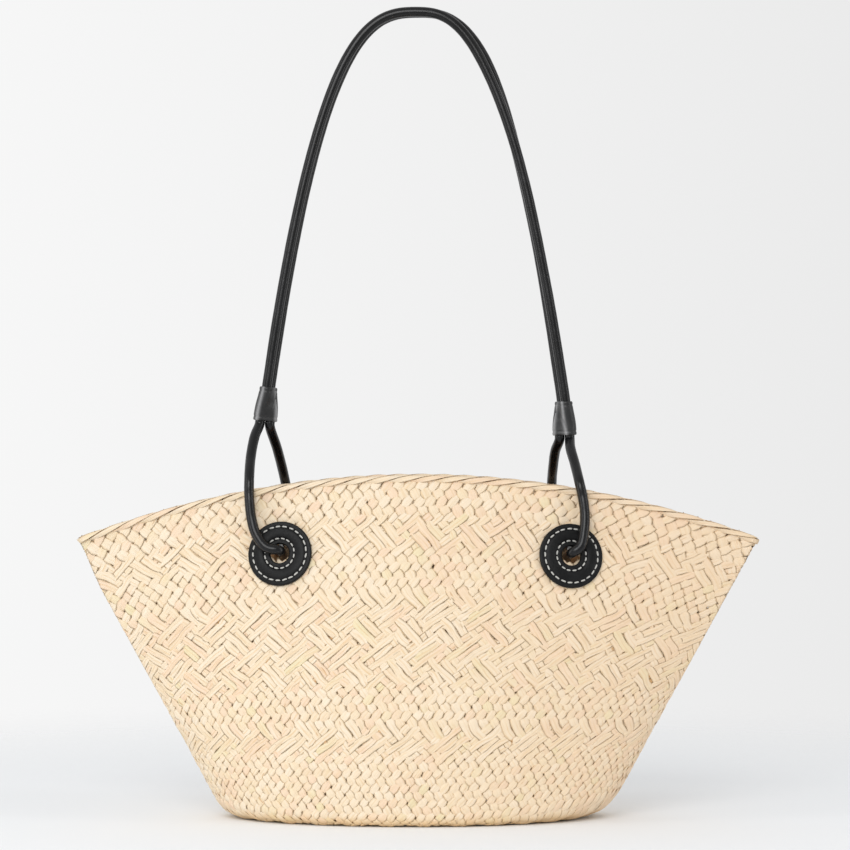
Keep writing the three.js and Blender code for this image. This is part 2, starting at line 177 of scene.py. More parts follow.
class BasketForm(bpy.types.PropertyGroup):
    """The basket's outside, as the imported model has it"""
    mouth_half_width: length("Mouth half width", "From the middle to a tip of the mouth",
                             BASKET_BOX[1].x)
    mouth_half_depth: length("Mouth half depth", "From the middle to the mouth's front", 36 * MM)
    rim_height_middle: length("Rim height, middle", "Height of the rim over the middle",
                              BASKET_BOX[1].z)
    rim_height_tip: length("Rim height, tips", "Height of the rim at its two tips", 187 * MM)
    foot_half_width: length("Foot half width", "From the middle to the foot's side", 126.8 * MM)
    foot_half_depth: length("Foot half depth", "From the middle to the foot's front",
                            BASKET_BOX[1].y)
    edge_round_left: length("Edge round, left", "Length taken up by the round edge", 14 * MM)
    edge_round_right: length("Edge round, right", "Length taken up by the round edge", 23 * MM)
    edge_round_front: length("Edge round, front", "Length taken up by the round edge", 6 * MM)
    pinch_foot: share("Pinch at the foot", "Power of the plan's sine at the foot", 0.98)
    pinch_rim: share("Pinch at the rim", "Power of the plan's sine at the rim", 2.3)
    pinch_growth: share("Growth of the pinch", "How late the pinch grows on the way up", 1.25)
    left_bulge: length("Left bulge", "How far the left side swells out", 3.2 * MM)
    depth_power: share("Depth power", "How late the walls draw together going up", 1.8)
    dent_foot_fade: share("Dent fade", "Share of the height where dents fade in", 0.25)


class PlaitSizes(bpy.types.PropertyGroup):
    """The plait"""
    strands: count("Strands", "Strands of each slanting family round the basket", 108)
    steps: count("Steps", "Mesh steps along a strand for each row", 4)
    lean: share("Lean", "Columns by which the plait leans for each row", 0.11)
    crowding_rim: share("Crowding, rim", "How the columns crowd to the middle", -0.12)
    crowding_foot: share("Crowding, foot", "How the columns crowd to the middle", 0.05)
    corner_rows: share("Corner rows", "Rows that turn round the bottom edge", 2.4)
    floor_rows: share("Floor rows", "Rows turned in under the floor", 1.2)
    top_row: share("Top row", "Row at which the strands start", 0.3)
    fill: share("Fill", "A strand's width as a share of its spacing", 1.18)
    belly: share("Belly", "How much wider a strand is on top than underneath", 0.42)
    half_thickness: length("Half thickness", "Half of a strand's thickness", 0.36 * MM)
    lift: length("Lift", "How far a strand rises and dives", 0.38 * MM)
    block_lift: share("Block lift", "Share of the lift in the blocks", 0.5)
    block_thickness: share("Block thickness", "Share of the thickness in the blocks", 0.5)
    wander: share("Wander", "How far a strand strays, in columns", 0.085)
    block_looseness: share("Block looseness", "How much more it strays in the blocks", 0.8)
    width_variation: share("Width variation", "How much a strand's width varies", 0.1)
    tilt: angle("Tilt", "How far a strand leans about its length", 8)
    scallop: length("Scallop", "Rise of the foot's edge between its waves", 0.9 * MM)
    scallop_columns: share("Scallop columns", "Columns in a wave of the foot's edge", 4)
    hole_front: length("Front hole", "Radius to which the front is cut for the cord", 7.4 * MM)
    hole_front_rise: length("Front hole rise", "From a patch's middle up to the cut's", 2.6 * MM)
    hole_back: length("Back hole", "Radius to which the back is cut for the cord", 4.6 * MM)
    hole_back_rise: length("Back hole rise", "From a patch's middle up to the cut's", 1.65 * MM)
    lace_width: length("Lace width", "Width of the strips that lace the rim", 3.5 * MM)
    lace_row: share("Lace row", "Row of the plait that the lacing wraps", 0.33)
    lace_rise: length("Lace rise", "Half height of the laced edge", 1.9 * MM)
    lace_depth: length("Lace depth", "Half depth of the laced edge", 1.75 * MM)
    lace_reach: share("Lace reach", "Columns that a lacing strip runs along", 7.0)
    lace_step: count("Lace step", "Columns from one lacing strip to the next", 2)
    mat_spacing: length("Mat spacing", "Spacing of the floor mat's strands", 6.2 * MM)


class LeatherSizes(bpy.types.PropertyGroup):
    """The cord, the patches and the sleeves"""
    cord_diameter: length("Cord diameter", "Diameter of the leather cord", 6.5 * MM)
    cord_clearance: length("Cord clearance", "Gap between the strap's strands", 0.4 * MM)
    patch_radius: length("Patch radius", "Radius of a round patch", 21.7 * MM)
    patch_thickness: length("Patch thickness", "Thickness of a patch at its hole", 2.2 * MM)
    patch_crown: length("Patch crown", "How far a patch is padded up", 0.9 * MM)
    patch_seat_gap: length("Patch seat gap", "Gap between a patch and the straw", 0.45 * MM)
    patch_drop: length("Patch drop", "From the rim down to a patch's middle", 45 * MM)
    strap_rise: length("Strap rise", "From the rim's middle to the strap's top",
                       STRAP_BOX[1].z - BASKET_BOX[1].z)
    hole_slack: length("Hole slack", "Room round the cord in a patch's hole", 3.3 * MM)
    sleeve_length: length("Sleeve length", "Length of a sleeve", 22.8 * MM)
    sleeve_wall: length("Sleeve wall", "Thickness of a sleeve's leather", 1 * MM)
    sleeve_clearance: length("Sleeve clearance", "Gap between cord and sleeve", 0.5 * MM)
    leg_clearance: length("Leg clearance", "Gap between a leg and the wall", 0.4 * MM)
    rim_clearance: length("Rim clearance", "Height over the rim where a leg turns", 3 * MM)
    sleeve_runout: length("Sleeve runout", "Straight cord below a sleeve", 2.5 * MM)
    rim_turn: share("Rim turn", "Cord radii beside the wall at the rim", 1.15)
    inner_seam: length("Inner seam", "Radius of a patch's inner seam", 10.1 * MM)
    outer_seam: length("Outer seam", "Radius of a patch's outer seam", 18.2 * MM)
    inner_stitches: count("Inner stitches", "Stitches of the inner seam", 16)
    outer_stitches: count("Outer stitches", "Stitches of the outer seam", 25)
    stitch_share: share("Stitch share", "Part of a stitch's pitch that shows", 0.71)
    thread_thickness: length("Thread thickness", "Thickness of the thread", 1.08 * MM)
    seam_depth: length("Seam depth", "How far a seam sinks into the leather", 0.5 * MM)


class BagColours(bpy.types.PropertyGroup):
    """Colours of the straw, the leather and the thread"""
    straw_pale: colour("Pale straw", "The palest strands", (0.865, 0.747, 0.588))
    straw_cream: colour("Cream straw", "Most of the strands", (0.845, 0.705, 0.518))
    straw_rosy: colour("Rosy straw", "Strands with a warm blush", (0.845, 0.653, 0.485))
    straw_green: colour("Green straw", "Strands cut young", (0.806, 0.705, 0.47))
    # Painted shade: the straw is mixed towards this warmer, darker colour on the right side, where less
    # light falls
    straw_warm: colour("Warm straw", "Straw on the sunned side", (0.845, 0.617, 0.405))
    # Tan is the colour of dark fibres and splits, and also painted shade at the strands' edges and at
    # the foot's edge
    straw_tan: colour("Tan straw", "Dark fibres and strands' edges", (0.72, 0.475, 0.215))
    # Painted shade in the gaps where strands dive under each other and on their inner sides; the same
    # brown also marks a few dark streaks in the straw
    straw_gap: colour("Gap straw", "Straw in the gaps between strands", (0.52, 0.27, 0.09))
    cord: colour("Cord leather", "Black leather of the cord", (0.004, 0.004, 0.0045))
    patch: colour("Patch leather", "Black leather of the patches", (0.005, 0.0052, 0.0054))
    sleeve: colour("Sleeve leather", "Charcoal leather of the sleeves", (0.012, 0.012, 0.0125))
    # Painted sheen: bright bands painted along the fronts of the sleeves, where light glints off them
    painted_sheen: colour("Polish", "Leather rubbed bright on its creases", (0.30, 0.30, 0.305))
    thread: colour("Thread", "Off-white sewing thread", (0.66, 0.65, 0.61))
    floor: colour("Floor", "Pale studio floor", (0.878, 0.898, 0.92))
    backdrop: colour("Backdrop", "Colour of the studio's light", (1.0, 1.0, 1.0))


class StageSizes(bpy.types.PropertyGroup):
    """Camera, floor and lights"""
    camera_across: length("Camera across", "Place of the camera to the right", 4.7 * MM)
    camera_distance: length("Camera distance", "From the camera to the bag's middle", 2.5)
    camera_height: length("Camera height", "Height of the camera over the floor", 264 * MM)
    camera_lens: FloatProperty(name="Lens", description="Focal length for a 36 mm sensor",
                               default=156.87)
    floor_radius: length("Floor radius", "Radius of the pale floor", 1.1)
    floor_fade: length("Floor fade", "Radius where the floor starts to fade out", 0.18)
    light_left: share("Light, left", "Brightness of the studio on the left", 0.968)
    side_fall: share("Side fall", "How much darker the studio is on the right", 0.176)
    front_fall: share("Front fall", "How much darker the studio gets behind the camera", 0.16)
    key_power: FloatProperty(name="Key light", description="Power of the soft light in front",
                             default=29.5, unit="POWER")
    side_power: FloatProperty(name="Side lights", description="Power of each tall side light",
                              default=5, unit="POWER")


def smooth(low, high, value):
    """Eases from 0 at low to 1 at high"""
    part = np.clip((value - low) / (high - low), 0, 1)
    return part * part * (3 - 2 * part)


def blend(start, end, part):
    return start + (end - start) * part


def unit(vectors):
    return vectors / np.maximum(np.linalg.norm(vectors, axis=-1, keepdims=True), 1e-12)


def point(x, y, z):
    return np.stack(np.broadcast_arrays(x, y, z), -1).astype(float)


class Basket:
    """The basket's outside surface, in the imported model's measures"""

    LEVELS = 49
    TURNS = 721
    FRACTIONS = 361

    def __init__(self, form):
        self.form = form
        self.levels = np.linspace(0, 1, self.LEVELS)
        self.fractions = np.linspace(0, 1, self.FRACTIONS)
        turns = np.linspace(0, math.pi, self.TURNS)
        rows = []
        for level in self.levels:
            line = self.wall(math.pi + turns, np.full_like(turns, level))
            steps = np.linalg.norm(np.diff(line, axis=0), axis=1)
            run = np.concatenate([[0], np.cumsum(steps)])
            rows.append(np.interp(self.fractions, run / run[-1], turns))
        self.turn_table = np.array(rows)

    def rim_height(self, x):
        across = np.clip(x / self.form.mouth_half_width, -1, 1)
        rise = self.form.rim_height_middle - self.form.rim_height_tip
        return self.form.rim_height_tip + rise * (1 - across ** 2)

    def dent(self, x, z):
        total = 0
        for across, up, depth, radius in DENTS:
            reach = radius * self.form.rim_height_middle
            sideways = (x - across * self.form.mouth_half_width) / reach
            upwards = (z - up * self.form.rim_height_middle) / reach
            fall = np.exp(-(sideways ** 2 + upwards ** 2))
            total = total + depth * self.form.mouth_half_depth * fall
        return total

    def half_width(self, height):
        return blend(self.form.foot_half_width, self.form.mouth_half_width, height)

    def wall(self, turn, height):
        """A point of the wall: turn is the angle round the plan, height a share of the way up"""
        form = self.form
        height_up = np.maximum(height, 0)
        tapered = 1 - height_up ** form.depth_power
        half_depth = blend(form.mouth_half_depth, form.foot_half_depth, tapered)
        pinch = blend(form.pinch_foot, form.pinch_rim, height_up ** form.pinch_growth)
        bulge = form.left_bulge * np.clip(-np.cos(turn), 0, 1) ** 2 * smooth(1, 0.8, height)
        x = self.half_width(height) * np.cos(turn) - bulge
        z = height * self.rim_height(form.mouth_half_width * np.cos(turn))
        depth = half_depth * np.abs(np.sin(turn)) ** pinch
        fade = np.minimum(1, depth / form.mouth_half_depth)
        fade = fade * np.minimum(1, height / form.dent_foot_fade)
        depth = np.maximum(0, depth - fade * self.dent(x, z))
        return point(x, np.sign(np.sin(turn)) * depth, z)

    def edge_round(self, turn):
        side = np.where(np.cos(turn) < 0, self.form.edge_round_left, self.form.edge_round_right)
        return blend(self.form.edge_round_front, side, np.cos(turn) ** 2)

    def corner(self, turn, way):
        """A point of the round bottom edge: way is 0 at the wall and 1 at the floor"""
        bend = self.wall(turn, np.zeros_like(turn))
        cut = self.edge_round(turn)
        inset = 1 - cut / np.hypot(bend[..., 0], bend[..., 1])
        start = self.wall(turn, cut / self.form.rim_height_middle)
        end = bend * inset[..., None]
        way = way[..., None]
        return (1 - way) ** 2 * start + 2 * way * (1 - way) * bend + way ** 2 * end

    def turn_at(self, fraction, height):
        """The angle round the plan at a share of the way along one half of the outline"""
        level = np.clip(height, 0, 1) * (self.LEVELS - 1)
        across = np.clip(fraction, 0, 1) * (self.FRACTIONS - 1)
        row = np.minimum(level.astype(int), self.LEVELS - 2)
        column = np.minimum(across.astype(int), self.FRACTIONS - 2)
        down, right = level - row, across - column
        table = self.turn_table
        low = blend(table[row, column], table[row, column + 1], right)
        high = blend(table[row + 1, column], table[row + 1, column + 1], right)
        return blend(low, high, down)

    def depth_at(self, x, z):
        """Half depth of the outside at a place seen from the front"""
        height = np.minimum(1, z / self.rim_height(x))
        cosine = 0
        for _ in range(30):
            cosine = np.clip(x / self.half_width(height), -1, 1)
            height = np.minimum(1, z / self.rim_height(self.form.mouth_half_width * cosine))
        return self.wall(np.arccos(cosine), height)[..., 1]

    def outside(self, x, z, face):
        """A point of the outside and the way out of the wall there"""
        step = 0.5 * MM
        slope_x = (self.depth_at(x + step, z) - self.depth_at(x - step, z)) / (2 * step)
        slope_z = (self.depth_at(x, z + step) - self.depth_at(x, z - step)) / (2 * step)
        return point(x, face * self.depth_at(x, z), z), unit(point(-slope_x, face, -slope_z))


class Plait:
    """The lattice of columns and rows on the basket, and the two families of strands on it"""

    def __init__(self, basket, sizes):
        self.basket, self.sizes = basket, sizes
        heights = np.concatenate([np.full(rows, tall) for _, rows, tall in BANDS])
        padded = np.concatenate([heights[:1], heights, heights[-1:]])
        heights = (padded[:-2] + 2 * heights + padded[2:]) / 4
        self.rows = len(heights)
        self.fall = np.concatenate([[0], np.cumsum(heights)]) / heights.sum()
        self.patterns = [name for name, rows, _ in BANDS for _ in range(rows)]
        self.last_row = self.rows + sizes.corner_rows + sizes.floor_rows
        self.blocks = np.array([float(self.in_blocks(row)) for row in range(self.rows)])

    def place(self, column, row):
        """A point of the basket's outside at a column and a row of the plait"""
        sizes, basket = self.sizes, self.basket
        half = sizes.strands / 2
        part = (column / half) % 2
        back = part >= 1
        part = part - back
        fall = np.interp(row, np.arange(self.rows + 1), self.fall)
        fall = fall + np.minimum(row, 0) * self.fall[1]
        crowd = blend(sizes.crowding_rim, sizes.crowding_foot, np.clip(fall, 0, 1))
        part = part - crowd * np.sin(2 * math.pi * part) / (2 * math.pi)
        turn = basket.turn_at(part, 1 - fall) + np.where(back, 0, math.pi)
        round_share = basket.edge_round(turn) / basket.form.rim_height_middle
        spot = basket.wall(turn, 1 - (1 - round_share) * fall)
        way = np.clip((row - self.rows) / sizes.corner_rows, 0, 1)
        spot = np.where((way > 0)[..., None], basket.corner(turn, way), spot)
        under = np.maximum(0, row - self.rows - sizes.corner_rows) * UNDER_ROW
        reach = np.maximum(np.hypot(spot[..., 0], spot[..., 1]), 1 * MM)
        spot[..., :2] *= (1 - under / reach)[..., None]
        wave = 0.5 - 0.5 * np.cos(2 * math.pi * column / sizes.scallop_columns)
        spot[..., 2] += sizes.scallop * wave * smooth(self.rows - 3, self.rows + sizes.corner_rows, row)
        return spot

    def axes(self, column, row):
        """The outside point, one column's step, one row's step and the way out of the wall"""
        near = 0.2
        spot = self.place(column, row)
        across = (self.place(column + near, row) - self.place(column - near, row)) / (2 * near)
        down = (self.place(column, row + near) - self.place(column, row - near)) / (2 * near)
        return spot, across, down, unit(np.cross(down, across))

    def in_blocks(self, row):
        return 0 <= row < self.rows and self.patterns[row] == "blocks"

    def blockiness(self, row):
        """Rises from 0 in the plain rows to 1 in the blocks"""
        return np.interp(row, np.arange(self.rows), self.blocks)

    def falling_on_top(self, first, row):
        """Whether the falling strand is on top where it crosses in a row"""
        second = first + row
        inner = first % BLOCK < FLOAT and second % BLOCK < FLOAT
        if self.in_blocks(row) and inner:
            return (first // BLOCK + second // BLOCK) % 2 == 0
        return row % 2 == 0

    def heights(self, family, strand, row):
        """Up and down of a strand along its rows, from -1 under to 1 on top"""
        low = int(math.floor(row[0]))
        high = int(math.ceil(row[-1])) + 1
        signs = []
        for at in range(low, high + 1):
            first = strand if family == "falling" else strand - at
            top = self.falling_on_top(first, at)
            signs.append(1.0 if top == (family == "falling") else -1.0)
        signs = np.array(signs)
        index = np.floor(row).astype(int) - low
        part = smooth(0, 1, row - np.floor(row))
        return blend(signs[index], signs[index + 1], part)

    # Columns to stay clear of a side's fold, where the way out turns round at once
    FOLD_CLEAR = 0.35

    def side_step(self, column, row, lean):
        """Columns and rows to go for one metre squarely out from a strand, along the wall"""
        half = self.sizes.strands / 2
        from_fold = (column + half / 2) % half - half / 2
        clear = np.where(from_fold < 0, -1, 1) * np.maximum(np.abs(from_fold), self.FOLD_CLEAR)
        _, across, down, out = self.axes(column + clear - from_fold, row)
        way = unit(down + lean * across)
        side = unit(np.cross(way, out))
        spacing = np.linalg.norm(across - way * np.sum(across * way, -1, keepdims=True), axis=-1)
        pairs = ((across, across), (across, down), (down, down), (side, across), (side, down))
        aa, ad, dd, sa, sd = (np.sum(first * second, -1) for first, second in pairs)
        size = aa * dd - ad * ad
        return (sa * dd - sd * ad) / size, (sd * aa - sa * ad) / size, spacing


def chart(across, along):
    """A map's grid from the places of its columns and rows"""
    return np.stack(np.broadcast_arrays(across, along), -1)


def lane_chart(run, around, lane, lanes):
    """A strip of the bake map: the run goes along it and the way round goes across it"""
    along = blend(END_MARGIN, 1 - END_MARGIN, run[:, None] / run[-1])
    return chart(along, (lane + blend(LANE_MARGIN, 1 - LANE_MARGIN, around[None, :])) / lanes)


class Mould:
    """Rings of points lofted into closed surfaces and gathered into one mesh"""

    def __init__(self, marks=()):
        self.points, self.faces, self.total = [], [], 0
        self.maps = {"Strip": [], "OFBake": []}
        self.marks = {name: [] for name in marks}

    def loft(self, rings, strip, bake, joined=False, **marks):
        """Adds a surface through rings; the two maps hold one row and one column more"""
        rings = np.asarray(rings, float)
        total, around = rings.shape[:2]
        rows = np.arange(total if joined else total - 1)
        low, high = rows[:, None] * around, ((rows + 1) % total)[:, None] * around
        here = np.arange(around)[None, :]
        there = (here + 1) % around
        corners = (low + here, low + there, high + there, high + here)
        quads = np.stack(np.broadcast_arrays(*corners), -1).reshape(-1, 4)
        order = [0, 1, 2, 3]
        if joined:
            flat = rings.reshape(-1, 3)
            flat = flat - flat.mean(axis=0)
            a, b, c, d = (flat[quads[:, k]] for k in range(4))
            volume = np.sum(a * np.cross(b, c)) + np.sum(a * np.cross(c, d))
            if volume < 0:
                order = [3, 2, 1, 0]
        self.faces.extend((quads[:, order] + self.total).tolist())
        for name, chart in (("Strip", strip), ("OFBake", bake)):
            squares = np.stack([chart[:-1, :-1], chart[:-1, 1:], chart[1:, 1:], chart[1:, :-1]], 2)
            self.maps[name].append(squares.reshape(-1, 4, 2)[:, order].reshape(-1, 2))
        if not joined:
            first, last = list(range(around))[::-1], list(range(around))
            base = self.total + (total - 1) * around
            self.faces.append([self.total + k for k in first])
            self.faces.append([base + k for k in last])
            for name, chart in (("Strip", strip), ("OFBake", bake)):
                self.maps[name].append(chart[0, first])
                self.maps[name].append(chart[-1, last])
        for name, values in marks.items():
            self.marks[name].append(np.broadcast_to(values, rings.shape[:2]).reshape(-1))
        self.points.append(rings.reshape(-1, 3))
        self.total += total * around

    def cast(self, name, finish, replaces=()):
        """Makes the gathered mesh into a piece of the bag"""
        mesh = bpy.data.meshes.new(name)
        mesh.from_pydata(np.concatenate(self.points).tolist(), [], self.faces)
        for title, charts in self.maps.items():
            layer = mesh.uv_layers.new(name=title)
            layer.data.foreach_set("uv", np.concatenate(charts).astype(np.float32).ravel())
        for title, values in self.marks.items():
            mark = mesh.attributes.new(title, "FLOAT", "POINT")
            mark.data.foreach_set("value", np.concatenate(values).astype(np.float32))
        mesh.shade_smooth()
        mesh.materials.append(finish)
        if mesh.validate(verbose=False):
            raise RuntimeError(name + " has a face that isn't sound")
        piece = bpy.data.objects.new(name, mesh)
        bpy.context.scene.collection.objects.link(piece)
        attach(piece, "root")
        if replaces:
            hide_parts(*replaces)
        return piece


# A straw strand's cross section: flat, with round edges
STRAW_SECTION = np.array([(-1, 0), (-0.62, 0.76), (0, 1), (0.62, 0.76), (1, 0), (0, -0.8)])


def flat_strand(spots, out, half_width, half_thickness):
    """Rings of a strand that lies flat along its middle line"""
    way = unit(np.gradient(spots, axis=0))
    side = unit(np.cross(way, out))
    out = np.cross(side, way)
    across = STRAW_SECTION[None, :, 0] * half_width[:, None]
    up = STRAW_SECTION[None, :, 1] * half_thickness
    return spots[:, None] + across[..., None] * side[:, None] + up[..., None] * out[:, None]


def add_strand(mould, rings, half_width, lift, split, tint, lane, lanes):
    """Adds one straw strand from its rings; lane is its row of the bake map"""
    spots = rings[:, 2]
    run = np.concatenate([[0], np.cumsum(np.linalg.norm(np.diff(spots, axis=0), axis=1))])
    across = STRAW_SECTION[None, :, 0] * half_width[:, None]
    across = np.concatenate([across, across[:, :1]], axis=1) / MM
    strip = chart(across + LANE_APART * lane, run[:, None] / MM)
    bake = lane_chart(run, np.linspace(0, 1, len(STRAW_SECTION) + 1), lane, lanes)
    edge = np.abs(STRAW_SECTION[:, 0])[None, :]
    inside = np.clip(-STRAW_SECTION[:, 1], 0, 1)[None, :]
    mould.loft(rings, strip, bake, tint=tint, lift=lift[:, None], edge=edge, inside=inside,
               split=split)


STRAW_MARKS = ("tint", "lift", "edge", "inside", "split")


def ripple(rng, wavelength):
    """A smooth random line about 0, within about 1 each way, as a function of the place on it"""
    waves = [(octave, rng.uniform(0, 2 * math.pi)) for octave in (1.0, 0.57, 0.31)]

    def line(at):
        return sum(octave * np.sin(2 * math.pi * at / (wavelength * octave) + phase)
                   for octave, phase in waves) / 1.5
    return line


def patch_place(basket, leather, side):
    x = side["sign"] * side["patch_across"] * basket.form.mouth_half_width
    return x, float(basket.rim_height(x)) - leather.patch_drop


def patch_frame(basket, leather, side, face):
    """A patch's middle on the wall, the way out, and two ways along the wall"""
    x, z = patch_place(basket, leather, side)
    spot, out = basket.outside(x, z, face)
    along = np.array([1.0, 0, 0])
    along = unit(along - out * along.dot(out))
    return spot, out, along, -face * np.cross(out, along)


def table_value(rows, at):
    """Eased value of a table of (place, value) rows"""
    if at <= rows[0][0]:
        return rows[0][1]
    for (low, first), (high, second) in zip(rows, rows[1:]):
        if at <= high:
            return blend(first, second, float(smooth(0, 1, (at - low) / (high - low))))
    return rows[-1][1]


class Cords:
    """Routes of the leather cord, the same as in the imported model"""

    def __init__(self, basket, leather):
        self.basket, self.leather = basket, leather
        self.radius = leather.cord_diameter / 2

    def pair(self, middle, outward, degrees):
        turn = math.radians(degrees)
        half = np.array([0, -math.cos(turn), 0]) + outward * math.sin(turn)
        half *= (self.leather.cord_diameter + self.leather.cord_clearance) / 2
        return {"front": middle + half, "back": middle - half, "to_front": unit(half)}

    def sleeve_ends(self, side):
        x, z = patch_place(self.basket, self.leather, side)
        foot = z + self.leather.patch_drop + side["sleeve_rise"] * self.leather.strap_rise
        out = side["sign"] * self.leather.patch_radius
        low = np.array([x + out * side["sleeve_foot_out"], 0, foot])
        high = np.array([x + out * side["sleeve_top_out"], 0, foot + self.leather.sleeve_length])
        return low, high

    def arch_middle(self, along):
        side = SIDES["left"] if along < 0 else SIDES["right"]
        end = self.sleeve_ends(side)[1]
        apex = self.basket.form.rim_height_middle + self.leather.strap_rise - self.radius
        part = abs(along)
        return np.array([end[0] * part, 0, apex - (apex - end[2]) * part ** side["arch_power"]])

    def arch_station(self, along):
        step = 0.01
        way = unit(self.arch_middle(min(1, along + step)) - self.arch_middle(max(-1, along - step)))
        outward = np.array([-way[2], 0, way[0]])
        return self.pair(self.arch_middle(along), outward, table_value(PAIR_TWIST, along))

    def sleeve_station(self, side, up):
        low, high = self.sleeve_ends(side)
        lean = unit(high - low)
        outward = side["sign"] * np.array([lean[2], 0, -lean[0]])
        at_top = table_value(PAIR_TWIST, side["sign"])
        degrees = blend(TWIST_AT_SLEEVE_FOOT, at_top, float(smooth(0, 1, up)))
        return {**self.pair(blend(low, high, up), outward, degrees), "lean": lean}

    def upper_stations(self, side, strand):
        return [self.sleeve_station(side, up)[strand] for up in np.linspace(0.52, 1, 4, endpoint=False)]

    def lower_stations(self, side, strand):
        low = -self.leather.sleeve_runout / self.leather.sleeve_length
        return [self.sleeve_station(side, up)[strand] for up in np.linspace(0.48, low, 5)]

    def strand(self, strand):
        even = np.linspace(-1, 1, 41)
        arch = [self.arch_station(part)[strand] for part in np.sign(even) * np.abs(even) ** 0.85]
        left = self.upper_stations(SIDES["left"], strand)
        right = self.upper_stations(SIDES["right"], strand)[::-1]
        return [*left, *arch, *right]

    def leg(self, side, face):
        leather, basket = self.leather, self.basket
        strand = "front" if face < 0 else "back"
        start = self.lower_stations(side, strand)
        foot = start[-1]
        x, z = patch_place(basket, leather, side)
        rim = z + leather.patch_drop
        over = leather.patch_seat_gap + leather.patch_thickness + leather.patch_crown
        route = []
        for fall, bow in side["front_leg" if face < 0 else "back_leg"]:
            at_x = x + side["sign"] * bow * leather.patch_radius
            at_z = rim - fall * leather.patch_drop
            rise = float(smooth(0, 1 - leather.patch_radius / leather.patch_drop, fall)) * over
            clear = self.radius * leather.rim_turn + leather.leg_clearance + rise
            clear = face * (float(basket.depth_at(at_x, at_z)) + clear)
            out = np.clip((foot[2] - at_z) / (foot[2] - rim - leather.rim_clearance), 0, 1)
            route.append(np.array([at_x, blend(foot[1], clear, out), at_z]))
        spot, out, _, up = patch_frame(basket, leather, side, face)
        hook = spot + up * leather.hole_slack / 2
        through = hook - out * (2 * MM + self.radius)
        return [*start, *route, hook + out * (over + self.radius / 2), through]

    def loop(self, side):
        front = self.leg(side, -1)
        back = self.leg(side, 1)[::-1]
        inside = (front[-1] + back[0]) / 2
        inside[2] -= self.radius
        return [*front, inside, *back]


def smooth_line(points, spacing):
    """Even stations along a centripetal curve through points"""
    knots = np.array([2 * points[0] - points[1], *points, 2 * points[-1] - points[-2]])
    pieces, points_between = [], 24
    part = np.linspace(0, 1, points_between, endpoint=False)[:, None]
    for a, b, c, d in zip(knots, knots[1:], knots[2:], knots[3:]):
        steps = (b - a, c - b, d - c)
        gap0, gap1, gap2 = (math.sqrt(max(np.linalg.norm(step), 1e-9)) for step in steps)
        start = ((b - a) / gap0 - (c - a) / (gap0 + gap1) + (c - b) / gap1) * gap1
        end = ((c - b) / gap1 - (d - b) / (gap1 + gap2) + (d - c) / gap2) * gap1
        square, cube = part ** 2, part ** 3
        bend = (2 * b - 2 * c + start + end) * cube + (-3 * b + 3 * c - 2 * start - end) * square
        pieces.append(bend + start * part + b)
    line = np.concatenate([*pieces, [points[-1]]])
    run = np.concatenate([[0], np.cumsum(np.linalg.norm(np.diff(line, axis=0), axis=1))])
    even = np.linspace(0, run[-1], max(3, int(run[-1] / spacing)))
    return np.stack([np.interp(even, run, line[:, k]) for k in range(3)], -1)


def carried_side(line, start):
    """A side direction carried along a line without twisting"""
    way = unit(np.gradient(line, axis=0))
    sides = []
    side = np.asarray(start, float)
    for step in way:
        side = unit(side - step * side.dot(step))
        sides.append(side)
    return way, np.array(sides)


def add_cord(mould, points, radius, spacing, rng):
    """Adds a round leather cord with faint unevenness along its length"""
    around = 28
    line = smooth_line(points, spacing)
    way, side = carried_side(line, (0, -1, 0))
    up = np.cross(side, way)
    theta = np.linspace(0, 2 * math.pi, around, endpoint=False)
    run = np.arange(len(line)) * spacing
    swell = radius * (1.035 + 0.012 * ripple(rng, 60 * MM)(run) + 0.006 * ripple(rng, 13 * MM)(run))
    ring = point_on(theta[None, :], -side[:, None], up[:, None])
    rings = line[:, None] + swell[:, None, None] * ring
    turns = np.linspace(0, 1, around + 1)
    strip = chart(turns[None, :] * 2 * math.pi * radius / MM, run[:, None] / MM)
    mould.loft(rings, strip, lane_chart(run, turns, 0, 1))


class Wire:
    """A socket that takes part in sums, so shader maths reads as plain arithmetic"""

    def __init__(self, finish, socket):
        self.finish, self.socket = finish, socket

    def maths(self, operation, *values):
        return self.finish.node("ShaderNodeMath", {"operation": operation}, dict(enumerate(values)))

    def __add__(self, other):
        return self.maths("ADD", self, other)

    def __sub__(self, other):
        return self.maths("SUBTRACT", self, other)

    def __rsub__(self, other):
        return self.maths("SUBTRACT", other, self)

    def __mul__(self, other):
        return self.maths("MULTIPLY", self, other)

    __radd__, __rmul__ = __add__, __mul__

    def ease(self, low, high):
        """Rises smoothly from 0 at low to 1 at high; falls where low is above high"""
        if low > high:
            return 1 - self.ease(high, low)
        settings = {"interpolation_type": "SMOOTHSTEP"}
        return self.finish.node("ShaderNodeMapRange", settings, {0: self, 1: low, 2: high})

    def part(self, name):
        """One of the socket's x, y and z"""
        return self.finish.node("ShaderNodeSeparateXYZ", {}, {0: self}, output=name)


